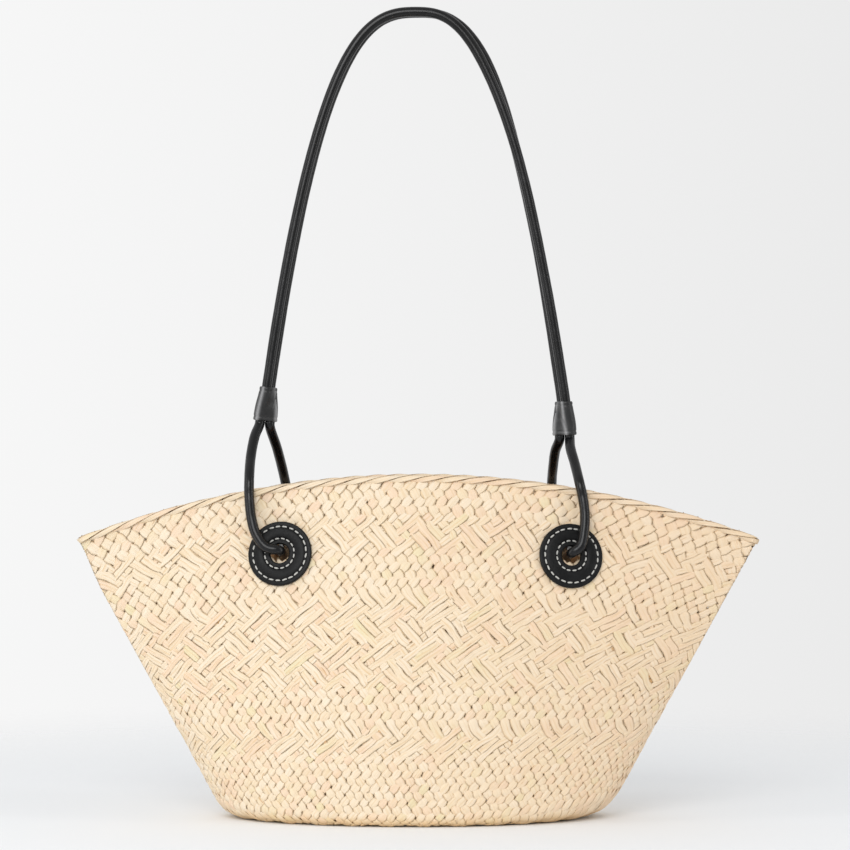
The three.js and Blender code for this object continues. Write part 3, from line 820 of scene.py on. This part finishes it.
class Graph:
    """A node tree, and the calls that build its nodes"""

    def __init__(self, owner, shader):
        owner.use_nodes = True
        self.nodes, self.links = owner.node_tree.nodes, owner.node_tree.links
        self.shader = self.nodes[shader]

    def node(self, kind, settings=None, inputs=None, output=0):
        """Adds a node: its settings first, then the values or links of its sockets"""
        made = self.nodes.new(kind)
        for title, value in (settings or {}).items():
            if title == "stops":
                ramp = made.color_ramp.elements
                while len(ramp) < len(value):
                    ramp.new(0.5)
                for stop, (place, shade) in zip(ramp, value):
                    stop.position = place
                    stop.color = (*shade, 1)
            else:
                setattr(made, title, value)
        for title, value in (inputs or {}).items():
            self.join(made.inputs[title], value)
        return Wire(self, made.outputs[output])

    def join(self, socket, value):
        if isinstance(value, Wire):
            self.links.new(value.socket, socket)
        elif socket.type == "RGBA" and len(value) == 3:
            socket.default_value = (*value, 1)
        else:
            socket.default_value = value

    def mix(self, mask, first, second):
        """Colours mixed from first to second by a mask"""
        inputs = {"Factor": mask, 6: first, 7: second}
        return self.node("ShaderNodeMix", {"data_type": "RGBA"}, inputs, output=2)

    def mark(self, name):
        return self.node("ShaderNodeAttribute", {"attribute_name": name}, output="Fac")

    def strip(self):
        return self.node("ShaderNodeUVMap", {"uv_map": "Strip"})

    def places(self):
        return self.node("ShaderNodeTexCoord", output="Object")

    def vector(self, x, y, z=0.0):
        return self.node("ShaderNodeCombineXYZ", {}, {0: x, 1: y, 2: z})

    def noise(self, vector, scale=1.0, detail=2.0, roughness=0.5):
        inputs = {"Vector": vector, "Scale": scale, "Detail": detail, "Roughness": roughness}
        return self.node("ShaderNodeTexNoise", {}, inputs)

    def put(self, title, wire):
        self.join(self.shader.inputs[title], wire)

    def bump(self, height, strength, distance):
        inputs = {"Height": height, "Strength": strength, "Distance": distance}
        self.put("Normal", self.node("ShaderNodeBump", {}, inputs))


class Finish(Graph):
    """A material with its constant values set"""

    def __init__(self, name, constants):
        self.material = bpy.data.materials.new(name)
        super().__init__(self.material, "Principled BSDF")
        for title, value in constants.items():
            self.shader.inputs[title].default_value = value


def straw_finish(colours):
    """Dry straw: every strand its own shade, with split fibres and dark streaks, and painted shade at
    the strands' edges, in their gaps, on their inner sides, at the foot and on the right side
    """
    finish = Finish("plaited_straw", {
        "Roughness": 0.6, "IOR": 1.42, "Specular IOR Level": 0.35,
    })
    tint, lift, edge, inside, parted = (finish.mark(name) for name in STRAW_MARKS)
    strip = finish.strip()
    across, along = strip.part("X"), strip.part("Y")
    tan, streak_and_shade = tuple(colours.straw_tan), tuple(colours.straw_gap)
    stops = ((0.05, colours.straw_green), (0.2, colours.straw_cream), (0.42, colours.straw_pale),
             (0.6, colours.straw_cream), (0.8, colours.straw_rosy), (1.0, colours.straw_pale))
    stops = tuple((place, tuple(shade)) for place, shade in stops)
    # Each strand's own shade, which drifts along it
    drift = finish.noise(finish.vector(across * 0.02, along * 0.035), 1.0, 2.0)
    hue = tint * 0.7 + (drift - 0.35) * 0.9
    base = finish.node("ShaderNodeValToRGB", {"stops": stops}, {0: hue})
    # Splits that sway along the strand and come and go
    sway = finish.noise(finish.vector(across * 0.12, along * 0.05), 1.0, 2.0)
    waves = across * (math.tau * LANE_SPLITS / LANE_APART) + (sway - 0.5) * 8.0 - math.pi / 2
    split = finish.node("ShaderNodeMath", {"operation": "SINE"}, {0: waves})
    fade = finish.noise(finish.vector(across * 0.4 + 80.0, along * 0.11), 1.0, 2.0)
    split = split.ease(-0.45, -0.97) * fade.ease(0.28, 0.55) * (0.3 + parted * 0.7)
    # Fine fibres, splits and a few dark streaks
    fine = finish.noise(finish.vector(across * 1.3, along * 0.045), 1.0, 3.0, 0.6)
    base = finish.mix(fine.ease(0.45, 0.72) * 0.4, base, tan)
    base = finish.mix(split * 0.38, base, tan)
    accent = finish.noise(finish.vector(across * 0.5 + 300.0, along * 0.09), 1.0, 1.0)
    base = finish.mix(accent.ease(0.7, 0.78) * 0.55, base, streak_and_shade)
    # Painted shade: warmer and darker towards the right side, where less light falls, and darker at the
    # foot's edge, where it turns under towards the floor
    places = finish.places()
    base = finish.mix(places.part("X").ease(-0.08, 0.22) * 0.4, base, tuple(colours.straw_warm))
    foot = places.part("Z") + (finish.noise(places, 160.0, 2.0) - 0.5) * 0.006
    base = finish.mix(foot.ease(0.0085, 0.0012) * 0.6, base, tan)
    # Painted shade: tan at the strands' edges, brown in patches where a strand dives under another, and
    # brown on the strands' inner sides
    base = finish.mix(edge.ease(0.5, 1.0) * 0.25, base, tan)
    base = finish.mix(edge.ease(0.6, 1.0) * lift.ease(0.3, -0.3) * 0.28, base, streak_and_shade)
    patchy = finish.noise(places, 75.0, 2.0).ease(0.56, 0.68)
    base = finish.mix(lift.ease(-0.2, -1.0) * (0.08 + patchy * 0.75), base, streak_and_shade)
    base = finish.mix(inside.ease(0.2, 0.8) * 0.65, base, streak_and_shade)
    finish.put("Base Color", base)
    finish.put("Roughness", 0.52 + fine * 0.22)
    knobs = finish.noise(places, 700.0, 2.0)
    finish.bump(fine * 0.6 - split * 0.5 + knobs * 0.8, 0.5, 0.28 * MM)
    return finish.material


def leather_finish(name, colours):
    """Smooth black leather with fine grain, a cloudy tone and painted sheen on marked bands"""
    grain, roughness, strength, gloss = LEATHERS[name]
    shade = tuple(getattr(colours, name))
    constants = {"Roughness": roughness, "IOR": 1.5, "Specular IOR Level": gloss}
    finish = Finish(name + "_leather", constants)
    places = finish.places()
    pores = finish.node("ShaderNodeTexVoronoi", {"feature": "DISTANCE_TO_EDGE"},
                        {"Vector": places, "Scale": grain})
    cloud = finish.noise(places, 90.0, 3.0)
    creases = finish.noise(places, grain * 0.5, 4.0, 0.65)
    base = finish.mix(cloud.ease(0.35, 0.7), tuple(0.7 * part for part in shade),
                      tuple(1.6 * part for part in shade))
    # Painted sheen: bright bands where the mark is set, which only the sleeves carry
    sheened = finish.mark("crease") * (0.6 + creases * 0.6)
    base = finish.mix(sheened, base, tuple(colours.painted_sheen))
    finish.put("Base Color", base)
    finish.put("Roughness", roughness - 0.1 + cloud * 0.14 + creases * 0.06)
    finish.bump(pores.ease(0.0, 0.12) * 0.6 + creases, strength, 0.12 * MM)
    return finish.material


def thread_finish(colours):
    """Off-white thread laid in a twist"""
    finish = Finish("sewing_thread", {"Roughness": 0.7})
    strip = finish.strip()
    slant = strip.part("X") * 0.8 + strip.part("Y")
    twist = finish.node("ShaderNodeMath", {"operation": "SINE"}, {0: slant * 9.0})
    # Painted shade: the thread is darker in the grooves of its twist
    base = finish.mix(twist.ease(-1.0, 0.4), tuple(0.72 * part for part in colours.thread),
                      tuple(colours.thread))
    finish.put("Base Color", base)
    finish.bump(twist, 0.6, 0.15 * MM)
    return finish.material


def floor_finish(stage, colours):
    """Pale matt floor that fades out into the studio's even light"""
    finish = Finish("studio_floor", {"Base Color": (*colours.floor, 1), "Roughness": 1.0})
    places = finish.places()
    far = finish.node("ShaderNodeVectorMath", {"operation": "LENGTH"}, {0: places}, output="Value")
    finish.put("Alpha", far.ease(stage.floor_radius * 0.95, stage.floor_fade))
    return finish.material


def basket_of(context):
    return Basket(context.scene.bag_form)


def shared_finish(name, make, *facts):
    """The material of that name, made the first time it is asked for"""
    return bpy.data.materials.get(name) or make(*facts)


class BAG_OT_plait_wall(bpy.types.Operator):
    """Plaits the wall from two slanting families of straw strands"""
    bl_idname = "bag.plait_wall"
    bl_label = "Plait the wall"

    def execute(self, context):
        scene = context.scene
        basket, sizes, leather = basket_of(context), scene.bag_plait, scene.bag_leather
        plait = Plait(basket, sizes)
        finish = shared_finish("plaited_straw", straw_finish, scene.bag_colours)
        holes = []
        for side in SIDES.values():
            for face in FACES.values():
                spot, out, _, up = patch_frame(basket, leather, side, face)
                end = "front" if face < 0 else "back"
                rise = getattr(sizes, f"hole_{end}_rise")
                holes.append((spot + up * rise, out, getattr(sizes, f"hole_{end}")))
        half = sizes.strands // 2
        replaced = ("basket",)
        for number, family in enumerate(("falling", "rising")):
            for part, place in enumerate(("near", "far")):
                mould = Mould(STRAW_MARKS)
                for strand in range(part * half, part * half + half):
                    rng = np.random.default_rng([7, number, strand])
                    self.add(mould, plait, family, strand, holes, rng, strand - part * half, half)
                mould.cast(f"straw_{family}_{place}", finish, replaced)
                replaced = ()
        return {"FINISHED"}

    def add(self, mould, plait, family, strand, holes, rng, lane, lanes):
        """Lays one strand down the wall, in pieces where the cord's holes cut it"""
        sizes = plait.sizes
        lean = 0.5 - sizes.lean if family == "falling" else -0.5 - sizes.lean
        stray, swell, roll = ripple(rng, 9), ripple(rng, 14), ripple(rng, 11)
        tint = rng.uniform(0, 1)
        later = np.arange(1, int(plait.last_row * sizes.steps) + 1) / sizes.steps
        row = np.append(sizes.top_row, later)

        def column_at(row):
            loose = 1 + sizes.block_looseness * plait.blockiness(row)
            return strand + lean * row + sizes.wander * stray(row) * loose

        for rows in self.free_runs(plait, column_at, row, holes):
            column = column_at(rows)
            step_column, step_row, spacing = plait.side_step(column, rows, lean)
            heights = plait.heights(family, strand, rows)
            blocks = plait.blockiness(rows)
            lift = sizes.lift * blend(1, sizes.block_lift, blocks)
            half_thickness = sizes.half_thickness * blend(1, sizes.block_thickness, blocks)
            belly = 1 + sizes.belly * blend(1, 0.4, blocks) * (heights - 1) / 2
            half_width = 0.5 * sizes.fill * spacing * belly * (1 + sizes.width_variation * swell(rows))
            across = STRAW_SECTION[None, :, 0] * half_width[:, None]
            columns = column[:, None] + across * step_column[:, None]
            wide_rows = rows[:, None] + across * step_row[:, None]
            spot, _, _, out = plait.axes(columns, wide_rows)
            depth = sizes.lift + sizes.half_thickness
            # The plait gets thinner where the two walls meet near a tip
            squeeze = np.clip(np.abs(spot[..., 1]) / (2.2 * depth), 0.3, 1)
            squeeze = 1 - (1 - squeeze) * smooth(0.8, 0.5, wide_rows / plait.rows)
            rise = (lift * heights - depth)[:, None]
            rise = rise + STRAW_SECTION[None, :, 1] * half_thickness[:, None]
            rise = rise + across * np.tan(sizes.tilt * roll(rows))[:, None]
            rings = spot + out * (rise * squeeze)[..., None]
            add_strand(mould, rings, half_width, heights, blocks[:, None], tint, lane, lanes)

    def free_runs(self, plait, column_at, row, holes):
        """The strand's rows outside the holes, with each run ending on a hole's edge"""
        spot = plait.place(column_at(row), row)
        free = np.full(len(row), 1.0)
        for middle, axis, radius in holes:
            away = spot - middle
            depth = away @ axis
            radial = np.linalg.norm(away - depth[:, None] * axis, axis=1)
            free = np.where(np.abs(depth) < CUT_DEPTH, np.minimum(free, radial - radius), free)
        edges = np.flatnonzero(np.diff(np.concatenate([[False], free > 0, [False]]).astype(int)))
        for first, last in zip(edges[::2], edges[1::2]):
            run = row[first:last]
            if first > 0:
                part = free[first] / (free[first] - free[first - 1])
                run = np.concatenate([[blend(row[first], row[first - 1], part)], run])
            if last < len(row):
                part = free[last - 1] / (free[last - 1] - free[last])
                run = np.concatenate([run, [blend(row[last - 1], row[last], part)]])
            if len(run) > 2:
                yield run


class BAG_OT_plait_floor(bpy.types.Operator):
    """Plaits the flat floor mat inside the foot"""
    bl_idname = "bag.plait_floor"
    bl_label = "Plait the floor"
    # Height of the mat's middle, rise and fall of its strands, half their thickness
    HEIGHT, LIFT, HALF_THICKNESS = 1.15 * MM, 0.38 * MM, 0.4 * MM
    # How far the mat reaches into the round bottom edge
    MARGIN = 1 * MM

    def execute(self, context):
        scene = context.scene
        form, sizes = scene.bag_form, scene.bag_plait
        finish = shared_finish("plaited_straw", straw_finish, scene.bag_colours)
        mould = Mould(STRAW_MARKS)
        wide = form.foot_half_width - form.edge_round_right + self.MARGIN
        deep = form.foot_half_depth - form.edge_round_front + self.MARGIN
        pitch = sizes.mat_spacing
        reach = int((wide + deep) / math.sqrt(2) / pitch) + 1
        lanes = 2 * (2 * reach + 1)
        diagonal = math.sqrt(0.5)
        for family in (0, 1):
            way = np.array([diagonal, diagonal if family else -diagonal, 0])
            aside = np.array([-way[1], way[0], 0])
            for strand in range(-reach, reach + 1):
                rng = np.random.default_rng([11, family, strand + reach])
                middle = aside * strand * pitch
                # Where the strand's line meets the foot's oval: a·t² + 2b·t + c = 0
                a = (way[0] / wide) ** 2 + (way[1] / deep) ** 2
                b = middle[0] * way[0] / wide ** 2 + middle[1] * way[1] / deep ** 2
                c = (middle[0] / wide) ** 2 + (middle[1] / deep) ** 2 - 1
                if b * b - a * c <= 0:
                    continue
                root = math.sqrt(b * b - a * c)
                low, high = (-b - root) / a, (-b + root) / a
                if high - low < 2 * pitch:
                    continue
                at = np.arange(math.ceil(2 * low / pitch), math.floor(2 * high / pitch) + 1) / 2
                whole = np.round(at)
                sign = np.where((np.round(at) + strand + family) % 2 == 0, 1.0, -1.0)
                height = np.where(at == whole, sign, 0.0)
                spots = middle + way * (at * pitch)[:, None]
                spots = spots + aside * (0.05 * pitch * ripple(rng, 9)(at))[:, None]
                spots[:, 2] = self.HEIGHT + self.LIFT * height
                out = np.broadcast_to(np.array([0, 0, 1.0]), spots.shape)
                half_width = np.full(len(at), 0.49 * pitch)
                rings = flat_strand(spots, out, half_width, self.HALF_THICKNESS)
                add_strand(mould, rings, half_width, height, 0.5, rng.uniform(0, 1),
                           2 * (strand + reach) + family, lanes)
        mould.cast("straw_floor", finish)
        return {"FINISHED"}


class BAG_OT_lace_rim(bpy.types.Operator):
    """Laces the rim with short straw strips that wrap over its edge"""
    bl_idname = "bag.lace_rim"
    bl_label = "Lace the rim"
    # How far round the edge a strip wraps to either side, in degrees, and its points
    WRAP, POINTS = 165, 29
    # Half of a strip's thickness, which is also how deep its ends tuck in
    HALF_THICKNESS = 0.2 * MM

    def execute(self, context):
        scene = context.scene
        sizes = scene.bag_plait
        plait = Plait(basket_of(context), sizes)
        finish = shared_finish("plaited_straw", straw_finish, scene.bag_colours)
        mould = Mould(STRAW_MARKS)
        turn = np.radians(np.linspace(-self.WRAP, self.WRAP, self.POINTS))
        row = np.full(len(turn), sizes.lace_row)
        for column in range(0, sizes.strands, sizes.lace_step):
            rng = np.random.default_rng([13, column])
            part = (turn - turn[0]) / (turn[-1] - turn[0])
            at = column + sizes.lace_reach * (part - 0.5) + rng.uniform(-0.1, 0.1)
            spot, across, down, out = plait.axes(at, row)
            up = -unit(down)
            middle = spot - out * (sizes.lift + sizes.half_thickness)
            round_out = -np.sin(turn)[:, None] * out * sizes.lace_depth
            round_up = np.cos(turn)[:, None] * up * sizes.lace_rise
            spots = middle + round_out + round_up
            facing = unit(-np.sin(turn)[:, None] * out * sizes.lace_rise
                          + np.cos(turn)[:, None] * up * sizes.lace_depth)
            swell = 1 + 0.1 * rng.uniform(-1, 1)
            tuck = smooth(0.0, 0.14, part) * smooth(1.0, 0.86, part) * 2 - 1
            half_width = 0.5 * sizes.lace_width * swell * (0.8 + 0.2 * tuck)
            spots = spots + facing * (self.HALF_THICKNESS * tuck)[:, None]
            rings = flat_strand(spots, facing, half_width, self.HALF_THICKNESS)
            add_strand(mould, rings, half_width, np.ones(len(turn)), 0.3, rng.uniform(0, 1),
                       column, sizes.strands)
        mould.cast("straw_lacing", finish)
        return {"FINISHED"}


# A patch's bevelled edges and the grooves its seams pull, and the points at a bevel and between
PATCH_BEVEL = 0.75 * MM
GROOVE_WIDTH = 0.75 * MM
BEVEL_POINTS = 5
FACE_POINTS = 40
# Points underneath a patch
UNDER_POINTS = 6


def patch_profile(leather, hole):
    """A patch's section from its hole to its edge and back underneath: radius, lift"""
    base, top = leather.patch_seat_gap, leather.patch_seat_gap + leather.patch_thickness
    edge, bevel = leather.patch_radius, PATCH_BEVEL
    quarter = np.linspace(0, math.pi / 2, BEVEL_POINTS)
    radius = np.concatenate([
        hole + bevel * (1 - np.cos(quarter)),
        np.linspace(hole + bevel, edge - bevel, FACE_POINTS)[1:-1],
        edge - bevel * (1 - np.sin(quarter)),
    ])
    across = (radius - leather.inner_seam) / (leather.outer_seam - leather.inner_seam)
    pad = leather.patch_crown * np.clip(1 - (2 * across - 1) ** 2, 0, 1) ** 0.8
    fall = -0.35 * leather.patch_crown * smooth(leather.outer_seam, edge, radius)
    groove = 0
    for seam in (leather.inner_seam, leather.outer_seam):
        groove = groove + np.exp(-((radius - seam) / GROOVE_WIDTH) ** 2)
    lift = top + 0.15 * leather.patch_crown + pad + fall - leather.seam_depth * groove
    for past in (hole + bevel - radius, radius - edge + bevel):
        past = np.clip(past, 0, bevel)
        lift = lift - (bevel - np.sqrt(np.clip(bevel ** 2 - past ** 2, 0, None)))
    under = np.linspace(edge, hole, UNDER_POINTS)
    return np.concatenate([radius, under]), np.concatenate([lift, np.full(UNDER_POINTS, base)])


def point_on(turn, along, up):
    """The way to a point of a circle with the two axes given"""
    return np.cos(turn)[..., None] * along + np.sin(turn)[..., None] * up


def on_wall(basket, frame_axes, face, radius, theta, lift):
    """A point of the wall round a patch's middle, lifted off it"""
    spot, out, along, up = frame_axes
    flat = spot + radius[..., None] * point_on(theta, along, up)
    flat[..., 1] = face * basket.depth_at(flat[..., 0], flat[..., 2])
    return flat + lift[..., None] * out


class BAG_OT_patches(bpy.types.Operator):
    """Cuts the four round leather patches, padded between their two seams"""
    bl_idname = "bag.patches"
    bl_label = "Cut the patches"

    def execute(self, context):
        scene = context.scene
        basket, leather = basket_of(context), scene.bag_leather
        finish = shared_finish("patch_leather", leather_finish, "patch", scene.bag_colours)
        hole = leather.cord_diameter / 2 + leather.hole_slack
        radius, lift = patch_profile(leather, hole)
        around = 120
        theta = np.linspace(0, 2 * math.pi, around, endpoint=False)
        for side_name, side in SIDES.items():
            for face_name, face in FACES.items():
                axes = patch_frame(basket, leather, side, face)
                grid = np.broadcast_arrays(radius[:, None], theta[None, :], lift[:, None])
                rings = on_wall(basket, axes, face, *grid)
                run = np.concatenate([[0], np.cumsum(np.hypot(np.diff(radius), np.diff(lift)))])
                run = np.append(run, run[-1] + 2 * MM)
                turns = np.linspace(0, 1, around + 1)
                strip = chart(turns[None, :] * 100, run[:, None] / MM)
                bake = chart(turns[None, :], run[:, None] / run[-1])
                mould = Mould()
                mould.loft(rings, strip, bake, joined=True)
                mould.cast(f"patch_leather_{face_name}_{side_name}", finish,
                           (f"patch_{face_name}_{side_name}",))
        return {"FINISHED"}


class BAG_OT_stitches(bpy.types.Operator):
    """Sews the two seams of every patch"""
    bl_idname = "bag.stitches"
    bl_label = "Sew the seams"

    def execute(self, context):
        scene = context.scene
        basket, leather = basket_of(context), scene.bag_leather
        finish = shared_finish("sewing_thread", thread_finish, scene.bag_colours)
        mould = Mould()
        seams = ((leather.inner_seam, leather.inner_stitches),
                 (leather.outer_seam, leather.outer_stitches))
        radius, lift = patch_profile(leather, leather.cord_diameter / 2 + leather.hole_slack)
        lanes = 4 * sum(number for _, number in seams)
        lane = 0
        for seed, side in enumerate(SIDES.values()):
            for face in FACES.values():
                rng = np.random.default_rng([17, seed, face + 1])
                axes = patch_frame(basket, leather, side, face)
                for seam, number in seams:
                    top = float(np.interp(seam, radius[:-UNDER_POINTS], lift[:-UNDER_POINTS]))
                    for stitch in range(number):
                        self.add(mould, basket, leather, axes, face, seam, number, stitch, top, rng,
                                 lane, lanes)
                        lane += 1
        mould.cast("patch_stitches", finish)
        return {"FINISHED"}

    def add(self, mould, basket, leather, axes, face, seam, number, stitch, top, rng, lane, lanes):
        pitch = 2 * math.pi / number
        part = np.linspace(-1, 1, 9)
        middle = (stitch + 0.5 + rng.uniform(-0.07, 0.07)) * pitch
        reach = 0.5 * pitch * leather.stitch_share * rng.uniform(0.92, 1.06)
        skew = rng.uniform(-0.05, 0.05)
        theta = middle + reach * part
        at = np.full(len(part), seam) * (1 + skew * 0.25 * part)
        half = leather.thread_thickness / 2
        arch = 1 - part ** 4
        line = on_wall(basket, axes, face, at, theta, top + half * (1.15 * arch - 0.5))
        way, side = carried_side(line, axes[1])
        up = np.cross(side, way)
        turns = np.linspace(0, 2 * math.pi, 10, endpoint=False)
        thick = half * (0.45 + 0.55 * (1 - part ** 6))
        ring = point_on(turns[None, :], -0.8 * side[:, None], up[:, None])
        rings = line[:, None] + thick[:, None, None] * ring
        run = (part - part[0]) * reach * seam / MM
        wrap = np.linspace(0, 1, 11)
        strip = chart(wrap[None, :] * 3, run[:, None] + 10 * lane)
        mould.loft(rings, strip, lane_chart(run, wrap, lane, lanes))


class BAG_OT_strap(bpy.types.Operator):
    """Runs the two long strands of the cord over the shoulder"""
    bl_idname = "bag.strap"
    bl_label = "Run the strap"

    def execute(self, context):
        scene = context.scene
        cords = Cords(basket_of(context), scene.bag_leather)
        finish = shared_finish("cord_leather", leather_finish, "cord", scene.bag_colours)
        for number, strand in enumerate(("front", "back")):
            mould = Mould()
            rng = np.random.default_rng([19, number])
            add_cord(mould, cords.strand(strand), cords.radius, 1.6 * MM, rng)
            mould.cast(f"strap_cord_{strand}", finish, (f"strap_{strand}",))
        return {"FINISHED"}


class BAG_OT_loops(bpy.types.Operator):
    """Runs the cord below each sleeve through its two patches"""
    bl_idname = "bag.loops"
    bl_label = "Run the loops"

    def execute(self, context):
        scene = context.scene
        cords = Cords(basket_of(context), scene.bag_leather)
        finish = shared_finish("cord_leather", leather_finish, "cord", scene.bag_colours)
        for number, (name, side) in enumerate(SIDES.items()):
            mould = Mould()
            rng = np.random.default_rng([23, number])
            add_cord(mould, cords.loop(side), cords.radius, 1.2 * MM, rng)
            mould.cast(f"loop_cord_{name}", finish, (f"loop_{name}",))
        return {"FINISHED"}


class BAG_OT_sleeves(bpy.types.Operator):
    """Wraps a sewn leather sleeve round both strands on either side"""
    bl_idname = "bag.sleeves"
    bl_label = "Wrap the sleeves"
    # A painted sheen band's width as a share of the sleeve's, and the points round each of its round
    # ends
    SHEEN_BAND_WIDTH = 0.075
    END_POINTS = 25
    # The sewn line near each hem, in millimetres: from the end, its width; and its depth
    SEAM_FROM_END, SEAM_WIDTH, SEAM_DEPTH = 2.6, 0.5, 0.28 * MM

    def execute(self, context):
        scene = context.scene
        leather = scene.bag_leather
        cords = Cords(basket_of(context), leather)
        finish = shared_finish("sleeve_leather", leather_finish, "sleeve", scene.bag_colours)
        bore = cords.radius + leather.sleeve_clearance
        for name, side in SIDES.items():
            outer = [self.slot(cords, side, up, bore + thick) for up, thick in self.profile(leather)]
            inner = [self.slot(cords, side, up, bore) for up in np.linspace(1, 0, 9)]
            rings = np.array(outer + inner)
            total, around = rings.shape[:2]
            turns = np.linspace(0, 1, around + 1)
            rows = np.linspace(0, 1, total + 1)
            strip = chart(turns[None, :] * 40, rows[:, None] * 45)
            bake = chart(turns[None, :], rows[:, None])
            mould = Mould(("crease",))
            mould.loft(rings, strip, bake, joined=True, crease=self.creases(side, rings))
            mould.cast(f"sleeve_wrap_{name}", finish, (f"sleeve_{name}",))
        return {"FINISHED"}

    def creases(self, side, rings):
        """How much each point lies on a band of painted sheen on the sleeve's front"""
        across, up = rings[..., 0], rings[..., 2]
        low, high = across.min(axis=1, keepdims=True), across.max(axis=1, keepdims=True)
        part = (across - low) / (high - low)
        up = (up - up.min()) / (up.max() - up.min())
        front = rings[..., 1] < rings[..., 1].mean(axis=1, keepdims=True)
        total = np.zeros(part.shape)
        for foot, top in side["sleeve_sheen_bands"]:
            total += np.exp(-((part - blend(foot, top, up)) / self.SHEEN_BAND_WIDTH) ** 2)
        return np.where(front, np.minimum(total, 1), 0)

    def profile(self, leather):
        """Rows up the sleeve with the leather's thickness: turned hems and a sewn line near each"""
        rows = []
        for up in np.concatenate([[0, 0.01, 0.03], np.linspace(0.05, 0.95, 37), [0.97, 0.99, 1]]):
            end = min(up, 1 - up) * leather.sleeve_length / MM
            thick = leather.sleeve_wall
            thick *= 0.55 + 0.45 * float(smooth(0, 0.6, end))
            groove = math.exp(-((end - self.SEAM_FROM_END) / self.SEAM_WIDTH) ** 2)
            thick -= self.SEAM_DEPTH * groove
            rows.append((float(up), thick))
        return rows

    def slot(self, cords, side, up, radius):
        station = cords.sleeve_station(side, up)
        across = unit(np.cross(station["lean"], station["to_front"]))
        ring = []
        for centre, sign in ((station["front"], 1), (station["back"], -1)):
            for turn in np.linspace(-math.pi / 2, math.pi / 2, self.END_POINTS):
                spot = centre + station["to_front"] * sign * radius * math.cos(turn)
                ring.append(spot + across * sign * radius * math.sin(turn))
            start, end = ring[-1], station["back" if sign > 0 else "front"] + across * sign * radius
            ring.extend(blend(start, end, part) for part in (0.25, 0.5, 0.75))
        return ring


class BAG_OT_stage(bpy.types.Operator):
    """Sets the camera, the soft studio light and the pale floor"""
    bl_idname = "bag.stage"
    bl_label = "Set the stage"
    # Height at which the lamps aim, and the floor's rings of faces and their corners
    AIM_HEIGHT = 0.25
    RINGS, CORNERS = 24, 96

    def execute(self, context):
        scene = context.scene
        stage, colours = scene.bag_stage, scene.bag_colours
        camera = bpy.data.objects.new("camera", bpy.data.cameras.new("camera"))
        camera.data.lens = stage.camera_lens
        camera.data.sensor_width = 36
        camera.data.clip_end = 100
        camera.location = (stage.camera_across, -stage.camera_distance, stage.camera_height)
        camera.rotation_euler = (math.pi / 2, 0, 0)
        scene.collection.objects.link(camera)
        scene.camera = camera

        for name, (size, place) in LAMPS.items():
            power = stage.key_power if name == "key_light" else stage.side_power
            self.light(name, power, size, place)

        world = bpy.data.worlds.new("studio")
        studio = Graph(world, "Background")
        way = studio.node("ShaderNodeTexCoord", output="Generated")
        right, behind = way.part("X").ease(-0.3, 0.3), 1 - way.part("Y")
        light = stage.light_left - right * stage.side_fall - behind * stage.front_fall
        studio.put("Color", studio.mix(light, (0, 0, 0), tuple(colours.backdrop)))
        scene.world = world
        scene.view_settings.view_transform = "Standard"

        around = self.CORNERS
        rings = [0.02, *np.linspace(0.1, stage.floor_radius, self.RINGS)]
        turns = np.linspace(0, 2 * math.pi, around, endpoint=False)
        spots = [(0, 0, 0)] + [(r * math.cos(t), r * math.sin(t), 0) for r in rings for t in turns]
        corners = [(k, (k + 1) % around) for k in range(around)]
        faces = [(0, 1 + here, 1 + there) for here, there in corners]
        for row in range(len(rings) - 1):
            low, high = 1 + row * around, 1 + (row + 1) * around
            faces += [(low + a, high + a, high + b, low + b) for a, b in corners]
        mesh = bpy.data.meshes.new("floor")
        mesh.from_pydata(spots, [], faces)
        mesh.materials.append(floor_finish(stage, colours))
        floor = bpy.data.objects.new("floor", mesh)
        scene.collection.objects.link(floor)
        floor.location.z = -0.05 * MM
        return {"FINISHED"}

    def light(self, name, power, size, place):
        """Adds a soft rectangular light that faces the bag's middle"""
        lamp = bpy.data.objects.new(name, bpy.data.lights.new(name, "AREA"))
        lamp.data.shape = "RECTANGLE"
        lamp.data.energy = power
        lamp.data.size, lamp.data.size_y = size
        lamp.location = place
        across = math.hypot(place[0], place[1])
        rise = math.atan2(across, place[2] - self.AIM_HEIGHT)
        lamp.rotation_euler = (rise, 0, math.atan2(-place[0], place[1]) + math.pi)
        bpy.context.scene.collection.objects.link(lamp)


class BAG_PT_panel(bpy.types.Panel):
    """Lists the steps of making the bag"""
    bl_idname = "BAG_PT_panel"
    bl_label = "Basket Bag"
    bl_space_type = "VIEW_3D"
    bl_region_type = "UI"
    bl_category = "Basket Bag"

    def draw(self, context):
        for operator in OPERATORS:
            self.layout.operator(operator.bl_idname)


OPERATORS = (
    BAG_OT_stage, BAG_OT_plait_wall, BAG_OT_plait_floor, BAG_OT_lace_rim, BAG_OT_patches,
    BAG_OT_stitches, BAG_OT_strap, BAG_OT_loops, BAG_OT_sleeves,
)
GROUPS = {
    "bag_form": BasketForm,
    "bag_plait": PlaitSizes,
    "bag_leather": LeatherSizes,
    "bag_colours": BagColours,
    "bag_stage": StageSizes,
}


def register():
    for name, group in GROUPS.items():
        bpy.utils.register_class(group)
        setattr(bpy.types.Scene, name, PointerProperty(type=group))
    for kind in (*OPERATORS, BAG_PT_panel):
        bpy.utils.register_class(kind)


def unregister():
    for kind in (BAG_PT_panel, *reversed(OPERATORS)):
        bpy.utils.unregister_class(kind)
    for name, group in reversed(GROUPS.items()):
        delattr(bpy.types.Scene, name)
        bpy.utils.unregister_class(group)


def main():
    register()
    bpy.ops.bag.stage()
    bpy.ops.bag.plait_wall()
    bpy.ops.bag.plait_floor()
    bpy.ops.bag.lace_rim()
    bpy.ops.bag.patches()
    bpy.ops.bag.stitches()
    bpy.ops.bag.strap()
    bpy.ops.bag.loops()
    bpy.ops.bag.sleeves()


if __name__ == "__main__":
    main()
